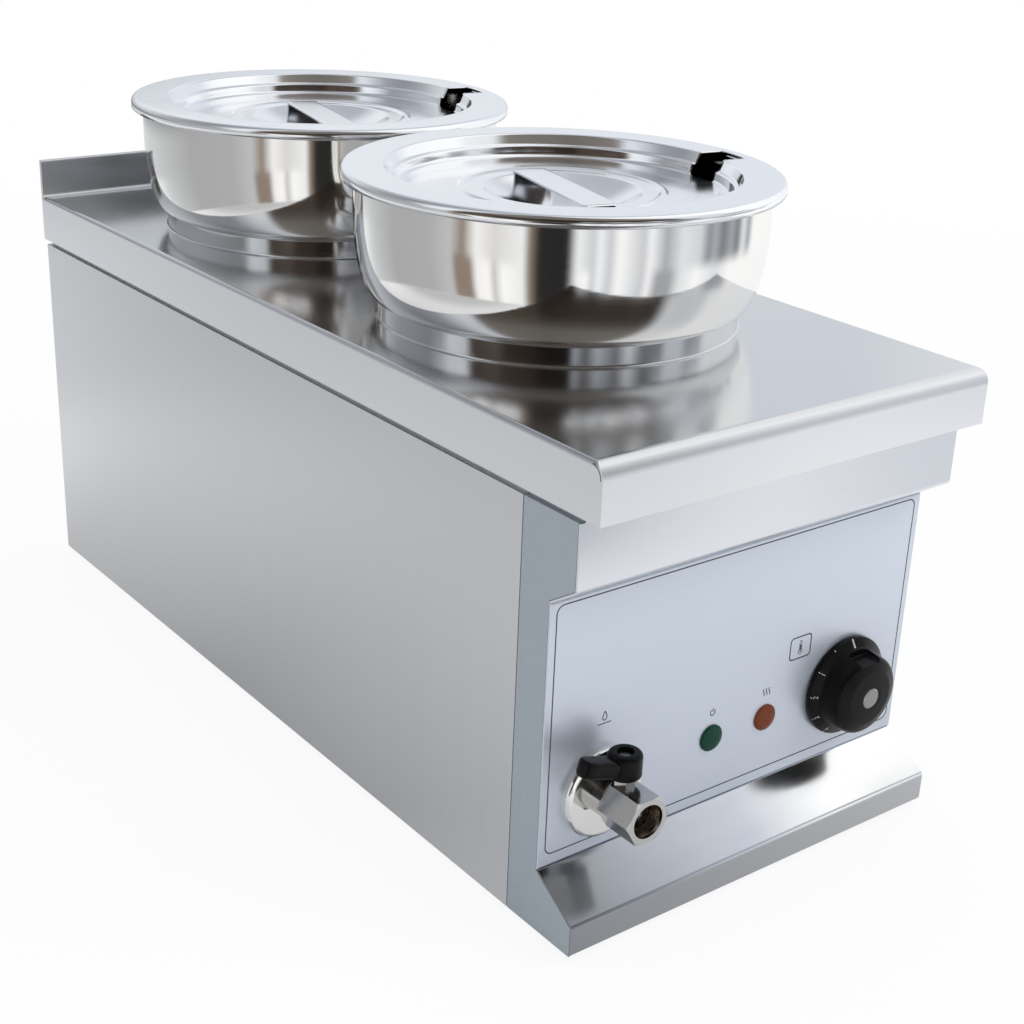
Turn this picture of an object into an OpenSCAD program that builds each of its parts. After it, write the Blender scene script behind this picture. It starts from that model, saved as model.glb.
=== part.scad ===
// Counter-top wet-well bain marie with two lift-out pots, a thermostat and a drain valve.
// Millimetres, +Z up, +X to the right and -Y towards the person who uses it.
// The origin is on the counter, under the middle of the worktop.

/* [Worktop] */
// Width over the worktop's side skirts
top_w = 265; // [262:1:275]
// Depth from the front lip to the back of the upstand
top_d = 610; // [606:1:630]
// Height of the worktop's surface above the counter
top_z = 269.5; // [262:0.5:285]
// Thickness of the worktop sheet
top_sheet = 1.2; // [1:0.1:1.5]
// Height of the skirts folded down from the worktop
skirt_h = 30; // [26:1:34]
// Outside radius of the bend along the front lip
lip_r = 8; // [5:0.5:10]
// Outside radius of the bends along the other edges
fold_r = 2.5; // [2:0.1:3]
// Width of the open joint between the lip's bend and each side skirt
joint_gap = 0.8; // [0.5:0.1:1.2]
// Height of the upstand along the back
upstand_h = 25.5; // [20:0.5:35]
// Thickness of the folded-over upstand
upstand_t = 3; // [2.6:0.1:4]

/* [Casing] */
// Thickness of the casing, cheek and base sheet
case_sheet = 1; // [0.8:0.1:1.2]
// How far each side of the casing stands back from the skirt's face
case_inset = 1; // [0.5:0.1:1.5]
// How far the casing's back stands in from the upstand's back
back_inset = 2; // [1:0.5:4]
// Depth of the back panel's returned edges
back_return = 12; // [8:1:20]
// Height of the dark gap between the skirts and the casing
shadow_gap = 3.5; // [2:0.5:5]
// How far the casing steps in behind the skirts
step_in = 3; // [2.8:0.1:4]
// Width of the flanges folded inwards
flange_w = 12; // [11:0.5:14]
// Depth of the front cheeks, from the lip's face to the seam
cheek_d = 57; // [55:0.5:62]
// Width of the seam between a cheek and the casing's side
seam_gap = 0.6; // [0.4:0.1:1]
// Height of the rubber feet
foot_h = 4; // [3.5:0.5:8]
// Radius of the rubber feet
foot_r = 11; // [9:0.5:13]
// Distance from the casing's corner faces to the middle of a foot
foot_inset = 28; // [24:1:40]

/* [Front] */
// Thickness of the header, control panel and toe sheet
front_sheet = 1.2; // [1:0.1:1.5]
// How far the header stands back from the lip
header_set = 14.4; // [12:0.2:17]
// How far the control panel stands back from the lip
panel_set = 32.7; // [31:0.1:35]
// How far the toe's nose stands back from the lip
toe_set = 3.8; // [3:0.2:6]
// Height of the header's lower bend
header_z = 200.7; // [198:0.5:206]
// Height of the control panel's upper edge
panel_top_z = 189; // [184:0.5:192]
// Height of the control panel's lower edge
panel_low_z = 40; // [36:0.5:46]
// Height of the upper bend of the toe's nose
nose_z = 22; // [18:0.5:26]
// Outside radius of the bends in the header and the toe
front_bend_r = 3; // [2:0.25:3.5]

/* [Wells and pots] */
// Distance from the lip's face to the front pot's axis
pot_set = 199.6; // [197:0.2:206]
// Distance between the two pots' axes
pot_pitch = 254; // [250:0.5:258]
// Outside radius of the collars pressed up from the worktop
collar_r = 102; // [101:0.2:104]
// Height of the collars
collar_h = 11; // [9:0.5:14]
// Radius of the fillet round a collar's foot
collar_fillet = 1.2; // [0.8:0.1:2]
// Outside radius of a pot's wall
pot_r = 115.3; // [113:0.1:117]
// Outside radius of a pot's neck inside the well
neck_r = 96.5; // [94:0.5:98]
// Thickness of the pots
pot_sheet = 1; // [0.8:0.1:1.2]
// Height of a pot's rim above the worktop
rim_h = 81.4; // [76:0.2:90]
// Height above the worktop at which a pot's wall starts to curve in
belly_h = 62; // [56:0.5:66]
// Width of a pot's rim outside its wall
rim_w = 4; // [3:0.5:5]
// Depth of a pot's floor below the worktop
pot_depth = 95; // [85:1:100]
// Gap between a pot and the collar that it rests on
seat_gap = 0.3; // [0.2:0.05:0.4]

/* [Lids] */
// Outside radius of a lid
lid_r = 122.3; // [121.9:0.1:124]
// Thickness of the lids
lid_sheet = 1; // [0.8:0.1:1.2]
// Gap between a pot's rim and the lid's underside
lid_gap = 0.3; // [0.2:0.05:0.4]
// Height of the lid's turned-down edge
hem_h = 6; // [4:0.5:8]
// Radius of the lid's sunken middle at the top
recess_r = 99; // [94:0.5:101]
// Depth of the lid's sunken middle
recess_d = 12; // [9:0.5:14]
// Width of the ledge half way down the sunken middle
ledge_w = 2.6; // [2:0.2:4]
// Radius of the raised ring round the finger dish
bead_r = 55.5; // [53:0.5:60]
// Radius of the finger dish
dish_r = 44; // [38:0.5:46]
// Depth of the finger dish
dish_d = 14; // [12:0.5:15]
// Width of the strap handle
strap_w = 20; // [16:0.5:26]
// Length of the strap handle beyond the dish at each end
strap_over = 5; // [4:0.5:6]
// Thickness of the strap handle
strap_t = 1.6; // [1.2:0.1:2.5]
// Turn of the strap handle away from the front-to-back line
strap_turn = -14; // [-30:1:30]
// Width of the ladle slot
slot_w = 23; // [16:0.5:26]
// Direction of the ladle slot, from +X
slot_turn = -9; // [-30:1:30]
// Radius that the ladle slot reaches
slot_r = 117; // [112:0.5:118]

/* [Water tank] */
// Gap between the tank's flange and the casing's flange
tank_gap = 0.5; // [0.3:0.1:1]
// Gap between a pot's neck and the tank's ends
tank_end = 9.2; // [8:0.2:11]
// Depth of the tank below the pots' floors
tank_below = 50.5; // [46:0.5:56]
// Radius of the tank's upright corners
tank_corner = 25; // [15:1:35]
// Thickness of the tank sheet
tank_sheet = 1; // [0.8:0.1:1.5]
// Width of the tank's flange under the worktop
tank_flange = 7; // [5:0.5:9]
// Radius of the heating element's tube
heater_r = 4; // [3.2:0.1:5]
// Distance from the middle line to each leg of the heating element
heater_x = 35; // [25:1:45]
// Height of the heating element's axis above the tank's floor
heater_z = 17; // [14:0.5:20]

/* [Drain] */
// Distance from the casing's left side to the drain valve's axis
valve_in = 38; // [35:0.5:46]
// Height of the drain valve's axis
valve_z = 75; // [70:0.5:82]
// How far the valve reaches out of the control panel
valve_reach = 37.5; // [36.5:0.5:42]
// Distance from the control panel to the valve's stem
stem_set = 17.5; // [16:0.5:18.5]
// Width across the flats of the valve's hexagon
valve_af = 24; // [23:0.5:27]
// Inside radius of the half-inch outlet thread
outlet_r = 9.3; // [8.8:0.1:10]
// Depth of the outlet thread
outlet_d = 9; // [8:0.5:10]
// Radius of the waterway through the valve
bore_r = 4.5; // [4:0.1:5]
// Radius of the ball
ball_r = 7.5; // [7.2:0.1:7.6]
// Radius of the valve's stem
stem_r = 3; // [2.6:0.1:3.4]
// Radius of the escutcheon
plate_r = 25.5; // [22:0.5:28]
// Thickness of the escutcheon
plate_t = 6; // [4:0.5:7]
// Radius of the lever's hub
hub_r = 9; // [8:0.5:10]
// Height of the lever's hub
hub_h = 9; // [8:0.5:11]
// Reach of the lever from the stem
lever_l = 28; // [24:0.5:40]
// Width of the lever's arm
lever_w = 12; // [10:0.5:14]
// Slope of the lever's arm
lever_rise = 17; // [10:1:20]
// Radius of the drain pipe
pipe_r = 9; // [8:0.5:10]

/* [Controls] */
// Distance from the casing's right side to the thermostat knob's axis
knob_in = 47.2; // [42:0.2:52]
// Height of the thermostat knob's axis
knob_z = 82.7; // [80:0.5:90]
// Radius of the knob's dial
dial_r = 31.4; // [28:0.2:33]
// Radius of the knob's grip
grip_r = 24.2; // [20:0.2:26]
// Distance from the control panel to the knob's face
knob_reach = 22.5; // [19:0.5:25]
// Gap between the dial and the control panel
dial_gap = 0.8; // [0.5:0.1:1]
// Radius of the thermostat's shaft
shaft_r = 3; // [2.5:0.1:3.5]
// Sideways places of the green and orange pilot lamps
lamp_x = [-16.8, 23.2];
// Height of the pilot lamps
lamp_z = 79.7; // [74:0.5:90]
// Radius of a pilot lamp's lens
lamp_r = 7.7; // [6.8:0.1:9]
// Inside radius of the cable gland
gland_r = 4; // [3:0.25:5]

/* [Hidden] */
$fn = 64;

// Running gap round a shaft or a stem
run = 0.05;
// Gap between parts that are only near each other
near = 0.3;
// Overlap that fuses the pieces of one solid
fuse = 0.5;
// Steps in a bend and in a long curve
bend_steps = 6;
curve_steps = 14;

y_front = -top_d / 2;
y_back = top_d / 2;
z_under = top_z - top_sheet;
z_skirt = top_z - skirt_h;
x_case = top_w / 2 - case_inset;
y_case = y_back - back_inset;
y_seam = y_front + cheek_d;
z_step = z_skirt - shadow_gap;
z_plate = foot_h + case_sheet;

y_head = y_front + header_set;
y_panel = y_front + panel_set;
y_toe = y_front + toe_set;
y_inside = y_panel + front_sheet;
front_return = 14;
y_flange = y_inside + front_return;
toe_flange = 16;
x_in = x_case - case_sheet;
x_up = x_case - step_in;
x_flange = x_in - case_sheet - near;
seam_r = 1.5;
valve_x = valve_in - x_case;
knob_x = x_case - knob_in;

// The tank's flange fits between the casing's flanges
tank_x = x_up - case_sheet - flange_w - tank_gap - tank_flange;

pot_y = [y_front + pot_set, y_front + pot_set + pot_pitch];
z_seat = top_z + collar_h + seat_gap;
seat_r = collar_r - top_sheet / 2;
seat_bend = 3;
z_rim = top_z + rim_h;
z_belly = top_z + belly_h;
z_floor = top_z - pot_depth;
z_lid = z_rim + lid_gap + lid_sheet;
z_dish = z_lid - recess_d;
floor_r = 12;

tank_y = [pot_y[0] - neck_r - tank_end, pot_y[1] + neck_r + tank_end];
z_tank = z_floor - tank_below;
z_heater = z_tank + tank_sheet + heater_z;
heater_end_y = tank_y[1] - 60;
clip_in = [150, 105];
clip_y = [tank_y[0] + clip_in[0], heater_end_y - clip_in[1]];
clip_w = 14;
clip_foot = 10;
clip_t = 1.5;
clip_up = 3;
bush_nut_af = 19;
bush_nut_h = 4;
limit_y = tank_y[0] + 61;

y_outlet = y_panel - valve_reach;
y_stem = y_panel - stem_set;
seat_back = ball_r - 0.3;
seat_t = 3;
cavity_r = ball_r + 0.8;
tail_r = 10;
tail_l = 22;
socket_l = 12;
y_tail = y_panel + tail_l;
z_flat = valve_z + valve_af / 2;
gland_h = 4.5;
z_hub = z_flat + gland_h + near;
drain_y = tank_y[0] + 24;
elbow_r = 16;
pipe_wall = 2.5;

bulb_r = 3.2;
bulb_l = 80;
capillary_r = 1;
z_bulb = z_tank - near - bulb_r;
box_x = 18;
box_z = 16;
box_d = 32;
panel_hole = shaft_r + 2;
lamp_neck = lamp_r - 1.7;
lamp_body_l = 26;
lamp_body_wall = 1;
lamp_body_end = 6;
gland_x = x_case - 41.5;
gland_z = 40;
gland_body = gland_r + 4;
// The gland reaches as far behind the middle as the valve does in front
gland_head = -y_outlet - y_case;
earth_x = x_case - 76.5;
earth_z = 26;
earth_r = 3;

// Sheet metal

function unit(v) = v / norm(v);
function left_of(a, b) = let (d = unit(b - a)) [-d[1], d[0]];
function turn_at(a, p, b) = 180 - acos(max(-1, min(1, unit(a - p) * unit(b - p))));
// Points of an arc of radius r that rounds the corner p between a and b
function rounded_corner(a, p, b, r) =
  let (
    u = unit(a - p),
    v = unit(b - p),
    t = turn_at(a, p, b),
    c = p + unit(u + v) * r / cos(t / 2),
    s = p + u * r * tan(t / 2) - c,
    way = cross([u[0], u[1], 0], [v[0], v[1], 0])[2] > 0 ? -1 : 1
  )
  [for (i = [0:bend_steps]) let (g = way * t * i / bend_steps)
    c + [s[0] * cos(g) - s[1] * sin(g), s[0] * sin(g) + s[1] * cos(g)]];
// A path with its inner corners rounded to the radii r
function bent(p, r) = [
  p[0],
  for (i = [1:len(p) - 2]) each rounded_corner(p[i - 1], p[i], p[i + 1], r[i - 1]),
  p[len(p) - 1]
];
// The path moved t to its left, with its corners kept in line
function moved(p, t) = [
  for (i = [0:len(p) - 1])
    let (
      m = left_of(p[max(i - 1, 0)], p[max(i, 1)]),
      n = left_of(p[min(i, len(p) - 2)], p[min(i + 1, len(p) - 1)])
    )
    p[i] + t * (m + n) / (1 + m * n)
];
function reversed(p) = [for (i = [len(p) - 1:-1:0]) p[i]];
// Outline of a sheet of thickness t whose one face follows the path
function sheet(p, t) = concat(p, reversed(moved(p, t)));
function arc(c, r, from, to, steps) =
  [for (i = [0:steps]) let (g = from + (to - from) * i / steps) c + r * [cos(g), sin(g)]];

// Extrudes an outline of Y and Z values along X, centred
module across(w) {
  rotate([90, 0, 90])
    translate([0, 0, -w / 2])
      linear_extrude(w)
        children();
}

// Turns what points along +Z so that it points out of the front
module outwards(x, y, z) {
  translate([x, y, z])
    rotate([90, 0, 0])
      children();
}

module block(low, high) {
  translate(low)
    cube(high - low);
}

module post(x, y, z0, z1, r) {
  translate([x, y, z0])
    cylinder(r = r, h = z1 - z0);
}

module ring(r_out, r_in, h) {
  difference() {
    cylinder(r = r_out, h = h);
    translate([0, 0, -1])
      cylinder(r = r_in, h = h + 2);
  }
}

// Points backwards out of the casing what points along +Z
module backwards(x, y, z) {
  translate([x, y, z])
    rotate([-90, 0, 0])
      children();
}

// Hexagon with its flats af apart and its corners turned off at both ends
module hexagon(af, h, low = 0.4, high = 0.4) {
  r = af / sqrt(3);
  intersection() {
    cylinder(r = r, h = h, $fn = 6);
    rotate_extrude()
      polygon([[0, 0], [r - low * 1.6, 0], [r, low], [r, h - high], [r - high * 1.6, h], [0, h]]);
  }
}

module nut(af, h, r) {
  difference() {
    hexagon(af, h);
    translate([0, 0, -1])
      cylinder(r = r + run, h = h + 2);
  }
}

// Round bar from a to b
module bar(a, b, r) {
  d = b - a;
  translate(a)
    rotate([0, acos(d[2] / norm(d)), atan2(d[1], d[0])])
      cylinder(r = r, h = norm(d));
}

// Rectangle with round corners
module round_rect(x0, x1, y0, y1, r) {
  translate([x0 + r, y0])
    square([x1 - x0 - 2 * r, y1 - y0]);
  translate([x0, y0 + r])
    square([x1 - x0, y1 - y0 - 2 * r]);
  for (x = [x0 + r, x1 - r], y = [y0 + r, y1 - r])
    translate([x, y])
      circle(r);
}

// Worktop

// Block under the worktop's surface, less a margin m all round
module tray_block(m) {
  low = z_skirt - (m > 0 ? 1 : 0);
  intersection() {
    across(top_w - 2 * m)
      bent_top(y_front + m, y_back - m, low, lip_r - m, fold_r - m, m);
    rotate([90, 0, 0])
      translate([0, 0, -top_d])
        linear_extrude(2 * top_d)
          bent_top(-top_w / 2 + m, top_w / 2 - m, low, fold_r - m, fold_r - m, m);
  }
}

// Upright rectangle below the worktop with its two upper corners rounded
module bent_top(a, b, low, ra, rb, m) {
  high = top_z - m;
  translate([a, low])
    square([b - a, high - max(ra, rb) - low]);
  translate([a + ra, low])
    square([b - a - ra - rb, high - low]);
  translate([a + ra, high - ra])
    circle(ra);
  translate([b - rb, high - rb])
    circle(rb);
  translate([b - rb, high - max(ra, rb) - fuse])
    square([rb, max(ra, rb) - rb + fuse]);
}

module collar() {
  foot = collar_r + collar_fillet;
  mid = [foot, top_z + collar_fillet];
  rotate_extrude($fn = 96)
    polygon(concat(
      [[foot + 1.5, z_under], [foot + 1.5, top_z]],
      arc(mid, collar_fillet, 270, 180, bend_steps),
      [
        [collar_r, top_z + collar_h - 0.4],
        [collar_r - 0.4, top_z + collar_h],
        [collar_r - top_sheet + 0.4, top_z + collar_h],
        [collar_r - top_sheet, top_z + collar_h - 0.4]
      ],
      arc(mid, collar_fillet + top_sheet, 180, 270, bend_steps)
    ));
}

stud_r = 2;
stud_x = x_case - step_in - case_sheet - flange_w / 2;
stud_y = [y_seam + 30, 0, y_case - 30];
// Places of the welded studs under the worktop, and the thickness of the sheet that each one holds
studs = concat(
  [for (x = [-stud_x, stud_x], y = stud_y) [x, y, case_sheet]],
  [for (x = [-70, 70]) [x, y_head + 22, front_sheet]]
);

module worktop() {
  color("gainsboro") {
    difference() {
      tray_block(0);
      tray_block(top_sheet);
      for (y = pot_y)
        post(0, y, z_under - 1, top_z + 1, collar_r + collar_fillet + 1);
      for (x = [-1, 1])
        translate([x * (top_w - top_sheet) / 2, 0, 0])
          corner_joint();
    }
    for (y = pot_y)
      translate([0, y, 0])
        collar();
    upstand();
    for (s = studs)
      post(s[0], s[1], z_under - 11, z_under + fuse, stud_r);
  }
}

// Open joint that follows the inside of the lip's bend through a side skirt
module corner_joint() {
  r = lip_r - top_sheet + 0.1;
  across(top_sheet + 1)
    translate([y_front + lip_r, top_z - lip_r])
      intersection() {
        difference() {
          circle(r);
          circle(r - joint_gap);
        }
        translate([-lip_r, 0])
          square(lip_r);
      }
}

// Upstand folded over along its top, with a bend at its foot
module upstand() {
  high = top_z + upstand_h;
  foot = fold_r;
  across(top_w)
    difference() {
      union() {
        translate([y_back - upstand_t, top_z - fold_r])
          square([upstand_t, upstand_h + fold_r - upstand_t / 2]);
        translate([y_back - upstand_t / 2, high - upstand_t / 2])
          circle(upstand_t / 2);
        translate([y_back - upstand_t - foot, top_z - fuse])
          square([foot + fuse, foot + fuse]);
      }
      translate([y_back - upstand_t - foot, top_z + foot])
        circle(foot);
    }
}

module worktop_nuts() {
  color("silver")
    for (s = studs)
      translate([s[0], s[1], z_under - s[2] - 3.2])
        nut(7, 3.2, stud_r);
}

// Casing

// One wrap of sheet round both sides and the back, with its outer face at x and y
module wrap(x, y, z0, z1) {
  difference() {
    block([-x, y_seam, z0], [x, y, z1]);
    block([-x + case_sheet, y_seam - 1, z0 - 1], [x - case_sheet, y - case_sheet, z1 + 1]);
  }
}

module rim_flange(x, y, z, w) {
  difference() {
    block([-x, y_seam, z], [x, y, z + case_sheet]);
    block([-x + w, y_seam - 1, z - 1], [x - w, y - w, z + case_sheet + 1]);
  }
}

y_weld = y_case - back_return;
base_screw_y = [y_seam + 60, 0, y_case - 60];
base_screw_x = x_case - case_sheet - flange_w / 2;
base_screw_r = 2;

module casing() {
  difference() {
    union() {
      wrap(x_case, y_case, foot_h, z_step);
      rim_flange(x_case, y_case, z_step - case_sheet, step_in + case_sheet);
      wrap(x_case - step_in, y_case - step_in, z_step - case_sheet, z_under);
      rim_flange(x_case - step_in, y_case - step_in, z_under - case_sheet, case_sheet + flange_w);
      rim_flange(x_case, y_case, z_plate, case_sheet + flange_w);
    }
    for (s = studs)
      post(s[0], s[1], z_under - 5, z_under + 1, stud_r + 0.3);
    for (x = [-base_screw_x, base_screw_x], y = base_screw_y)
      post(x, y, foot_h, z_plate + 3, base_screw_r);
    outwards(gland_x, y_case + 1, gland_z)
      cylinder(r = gland_body + near, h = case_sheet + 2);
    outwards(earth_x, y_case + 1, earth_z)
      cylinder(r = earth_r + near, h = case_sheet + 2);
  }
}

// Part of the casing inside a block: its sides meet the back's returned edges at y_weld
module casing_part(low, high) {
  color("lightgray")
    intersection() {
      casing();
      block(low, high);
    }
}

module left_side() {
  casing_part([-x_case - 1, y_seam - 1, 0], [0, y_weld, top_z]);
}

module right_side() {
  casing_part([0, y_seam - 1, 0], [x_case + 1, y_weld, top_z]);
}

module back_panel() {
  casing_part([-x_case - 1, y_weld, 0], [x_case + 1, y_back, top_z]);
}

// Front of the casing, from the worktop down to the foot of the toe
front_line = [
  [y_head, z_under], [y_head, header_z], [y_panel, panel_top_z],
  [y_panel, panel_low_z], [y_toe, nose_z], [y_toe, foot_h]
];

module cheek() {
  edge = moved(front_line, front_sheet + near);
  last = len(edge) - 1;
  y_end = y_seam - seam_gap;
  outline = concat(
    [[y_end, z_step], [edge[0][0], z_step]],
    [for (i = [1:last - 1]) edge[i]],
    [[edge[last][0], foot_h], [y_end, foot_h]]
  );
  z_tongue = [z_plate + case_sheet, z_step - case_sheet - near];
  translate([x_case - case_sheet / 2, 0, 0])
    across(case_sheet)
      polygon(outline);
  // Tongue behind the casing's side
  block([x_in - case_sheet, y_end - flange_w, z_tongue[0]], [x_in, y_seam + flange_w, z_tongue[1]]);
  block([x_in - fuse, y_end - flange_w, z_tongue[0]], [x_in + fuse, y_end, z_tongue[1]]);
  // Flange on the base plate
  block([x_in - flange_w, y_toe + 20, z_plate], [x_in + fuse, y_end, z_plate + case_sheet]);
  // Upper part, stepped in behind the skirt
  block([x_up - case_sheet, edge[0][0], z_step - case_sheet], [x_up, y_end, z_under - front_sheet - near]);
  block([x_up - case_sheet, edge[0][0], z_step - case_sheet], [x_case, y_end, z_step]);
}

module left_cheek() {
  color("lightslategray")
    mirror([1, 0, 0])
      cheek();
}

module right_cheek() {
  color("lightslategray")
    cheek();
}

base_x = x_case - case_sheet - near;
base_y = [y_toe + toe_flange + near, y_case - case_sheet - near];
foot_x = x_case - foot_inset;
foot_y = [y_toe + toe_flange + foot_inset, y_case - foot_inset];
feet = [for (x = [-foot_x, foot_x], y = foot_y) [x, y]];
foot_screw_r = 2;

module base_plate() {
  color("darkgray")
    difference() {
      block([-base_x, base_y[0], foot_h], [base_x, base_y[1], z_plate]);
      for (x = [-base_screw_x, base_screw_x], y = base_screw_y)
        post(x, y, foot_h - 1, z_plate + 1, base_screw_r);
      for (f = feet)
        post(f[0], f[1], foot_h - 1, z_plate + 1, foot_screw_r);
    }
}

module base_screws() {
  color("silver")
    for (x = [-base_screw_x, base_screw_x], y = base_screw_y) {
      post(x, y, foot_h - 1.6, foot_h, 3.6);
      post(x, y, foot_h - fuse, z_plate + case_sheet + 3, base_screw_r - run);
    }
}

module rubber_feet() {
  color("black")
    for (f = feet)
      translate([f[0], f[1], 0])
        difference() {
          rotate_extrude()
            polygon([[0, 0], [foot_r - 1, 0], [foot_r, 1], [foot_r, foot_h], [0, foot_h]]);
          translate([0, 0, -1])
            cylinder(r = 5, h = 2.8);
          translate([0, 0, -1])
            cylinder(r = foot_screw_r, h = foot_h + 2);
        }
}

module foot_screws() {
  color("silver")
    for (f = feet) {
      post(f[0], f[1], 0.4, 1.8, 4);
      post(f[0], f[1], 1, z_plate + 4, foot_screw_r - run);
      translate([f[0], f[1], z_plate])
        hexagon(7, 3);
    }
}

// Front

// Room for the cheeks and for the step behind the skirts, at both ends of a front sheet
module end_rooms() {
  line = moved(front_line, front_sheet);
  last = len(line) - 1;
  for (s = [-1, 1]) {
    translate([s * (x_flange + 10), 0, 0])
      across(20)
        polygon(concat(
          [[y_seam, z_under + 1], [line[0][0], z_under + 1]],
          [for (i = [1:last - 1]) line[i]],
          [[line[last][0], foot_h - 1], [y_seam, foot_h - 1]]
        ));
    translate([s * (x_up + 10), 0, 0])
      block([-10, y_head - 1, z_step], [10, y_seam, z_under + 1]);
  }
}

module front_skin(line, radii) {
  difference() {
    across(2 * x_case)
      polygon(sheet(bent(line, radii), front_sheet));
    end_rooms();
  }
}

module front_header() {
  color("gainsboro")
    difference() {
      front_skin([
        [y_flange, z_under],
        [y_head, z_under],
        [y_head, header_z],
        [y_panel, panel_top_z],
        [y_flange, panel_top_z]
      ], [front_bend_r, front_bend_r, seam_r]);
      for (s = studs)
        post(s[0], s[1], z_under - 5, z_under + 1, stud_r + 0.3);
    }
}

module control_panel() {
  color("gainsboro")
    difference() {
      front_skin([
        [y_flange, panel_top_z],
        [y_panel, panel_top_z],
        [y_panel, panel_low_z],
        [y_flange, panel_low_z]
      ], [seam_r, seam_r]);
      outwards(knob_x, y_inside + 1, knob_z)
        cylinder(r = panel_hole, h = front_sheet + 2);
      outwards(valve_x, y_inside + 1, valve_z)
        cylinder(r = tail_r + near, h = front_sheet + 2);
      for (x = lamp_x)
        outwards(x, y_inside + 1, lamp_z)
          cylinder(r = lamp_neck + near, h = front_sheet + 2);
    }
}

module kick_toe() {
  color("gainsboro")
    front_skin([
      [y_flange, panel_low_z],
      [y_panel, panel_low_z],
      [y_toe, nose_z],
      [y_toe, foot_h],
      [y_toe + toe_flange, foot_h]
    ], [seam_r, front_bend_r, front_bend_r]);
}

// Water tank

module water_tank() {
  color("silver")
    difference() {
      union() {
        tank_layer(0, z_tank, z_under);
        tank_layer(-tank_flange, z_under - tank_sheet, z_under);
      }
      tank_layer(tank_sheet, z_tank + tank_sheet, z_under + 1);
      post(valve_x, drain_y, z_tank - 1, z_tank + 2, pipe_r - pipe_wall);
      for (x = [-heater_x, heater_x])
        outwards(x, tank_y[0] + 2, z_heater)
          cylinder(r = bush_r + near, h = 4);
    }
}

// The tank's outline less a margin m, between two heights
module tank_layer(m, z0, z1) {
  translate([0, 0, z0])
    linear_extrude(z1 - z0)
      round_rect(-tank_x + m, tank_x - m, tank_y[0] + m, tank_y[1] - m, tank_corner - m);
}

bush_r = 7;

module heating_element() {
  y_bend = heater_end_y - heater_x;
  color("dimgray") {
    for (x = [-heater_x, heater_x]) {
      outwards(x, y_bend, z_heater)
        cylinder(r = heater_r, h = y_bend - tank_y[0] + 9);
      outwards(x, tank_y[0] + tank_sheet, z_heater)
        cylinder(r = bush_r, h = tank_sheet + 9);
      outwards(x, tank_y[0] + tank_sheet + 3, z_heater)
        cylinder(r = bush_r + 3, h = 3);
      outwards(x, tank_y[0] - 8, z_heater)
        cylinder(r = 1.5, h = 13);
    }
    translate([0, y_bend, z_heater])
      rotate_extrude(angle = 180)
        translate([heater_x, 0])
          circle(heater_r);
  }
}

module heater_nuts() {
  color("silver")
    for (x = [-heater_x, heater_x])
      outwards(x, tank_y[0], z_heater)
        nut(bush_nut_af, bush_nut_h, bush_r);
}

module heater_clips() {
  low = z_tank + tank_sheet;
  color("silver")
    for (x = [-heater_x, heater_x], y = clip_y)
      difference() {
        union() {
          block([x - clip_w / 2, y, low], [x + clip_w / 2, y + clip_t, z_heater + heater_r + clip_up]);
          block([x - clip_w / 2, y, low], [x + clip_w / 2, y + clip_foot, low + clip_t]);
        }
        outwards(x, y + 2 * clip_t, z_heater)
          cylinder(r = heater_r + run, h = 4 * clip_t);
      }
}

module limit_thermostat() {
  color("ivory")
    translate([0, limit_y, 0]) {
      post(0, 0, z_tank - 2, z_tank, 12);
      post(0, 0, z_tank - 12, z_tank - 1, 8.5);
      for (x = [-5, 5])
        block([x - 0.4, -3, z_tank - 20], [x + 0.4, 3, z_tank - 11]);
    }
}

// Drain

module drain_pipe() {
  y_bend = drain_y - elbow_r;
  socket_y = y_tail - socket_l;
  color("silver")
    difference() {
      union() {
        post(valve_x, drain_y, valve_z + elbow_r, z_tank, pipe_r);
        outwards(valve_x, y_bend, valve_z)
          cylinder(r = pipe_r, h = y_bend - y_tail);
        translate([valve_x, y_bend, valve_z + elbow_r])
          elbow(pipe_r);
        outwards(valve_x, y_tail + 3, valve_z)
          cylinder(r = tail_r + 3, h = socket_l + 3);
      }
      post(valve_x, drain_y, valve_z + elbow_r, z_tank + 1, pipe_r - pipe_wall);
      outwards(valve_x, y_bend, valve_z)
        cylinder(r = pipe_r - pipe_wall, h = y_bend - socket_y + 1);
      translate([valve_x, y_bend, valve_z + elbow_r])
        elbow(pipe_r - pipe_wall);
      outwards(valve_x, y_tail, valve_z)
        cylinder(r = tail_r + run, h = socket_l + 1);
    }
}

module elbow(r) {
  rotate([90, 0, 90])
    rotate([0, 0, -90])
      rotate_extrude(angle = 90)
        translate([elbow_r, 0])
          circle(r);
}

// The valve's parts stand on the control panel with their local Z out of its front
module on_valve(s) {
  outwards(valve_x, y_panel - s, valve_z)
    children();
}

hex_s = 14;
joint_s = valve_reach - outlet_d;
seat_s = [stem_set - seat_back, stem_set + seat_back];
spigot_r = valve_af / 2 - 2;
packing_r = 4.2;
packing_d = 2.2;

module valve_body() {
  color("silver")
    difference() {
      union() {
        on_valve(-tail_l)
          cylinder(r = tail_r, h = tail_l + plate_t + fuse);
        on_valve(plate_t)
          cylinder(r = valve_af / 2 - 0.7, h = hex_s - plate_t + fuse);
        on_valve(hex_s)
          hexagon(valve_af, joint_s - hex_s, 0.8, 0.3);
      }
      on_valve(-tail_l - 1)
        cylinder(r = bore_r, h = tail_l + joint_s + 2);
      on_valve(seat_s[0])
        cylinder(r = cavity_r, h = joint_s);
      on_valve(seat_s[1])
        cylinder(r = spigot_r + run, h = joint_s);
      translate([valve_x, y_stem, valve_z])
        cylinder(r = stem_r + run, h = valve_af);
      post(valve_x, y_stem, z_flat - packing_d, z_flat + 1, packing_r + run);
    }
}

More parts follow.
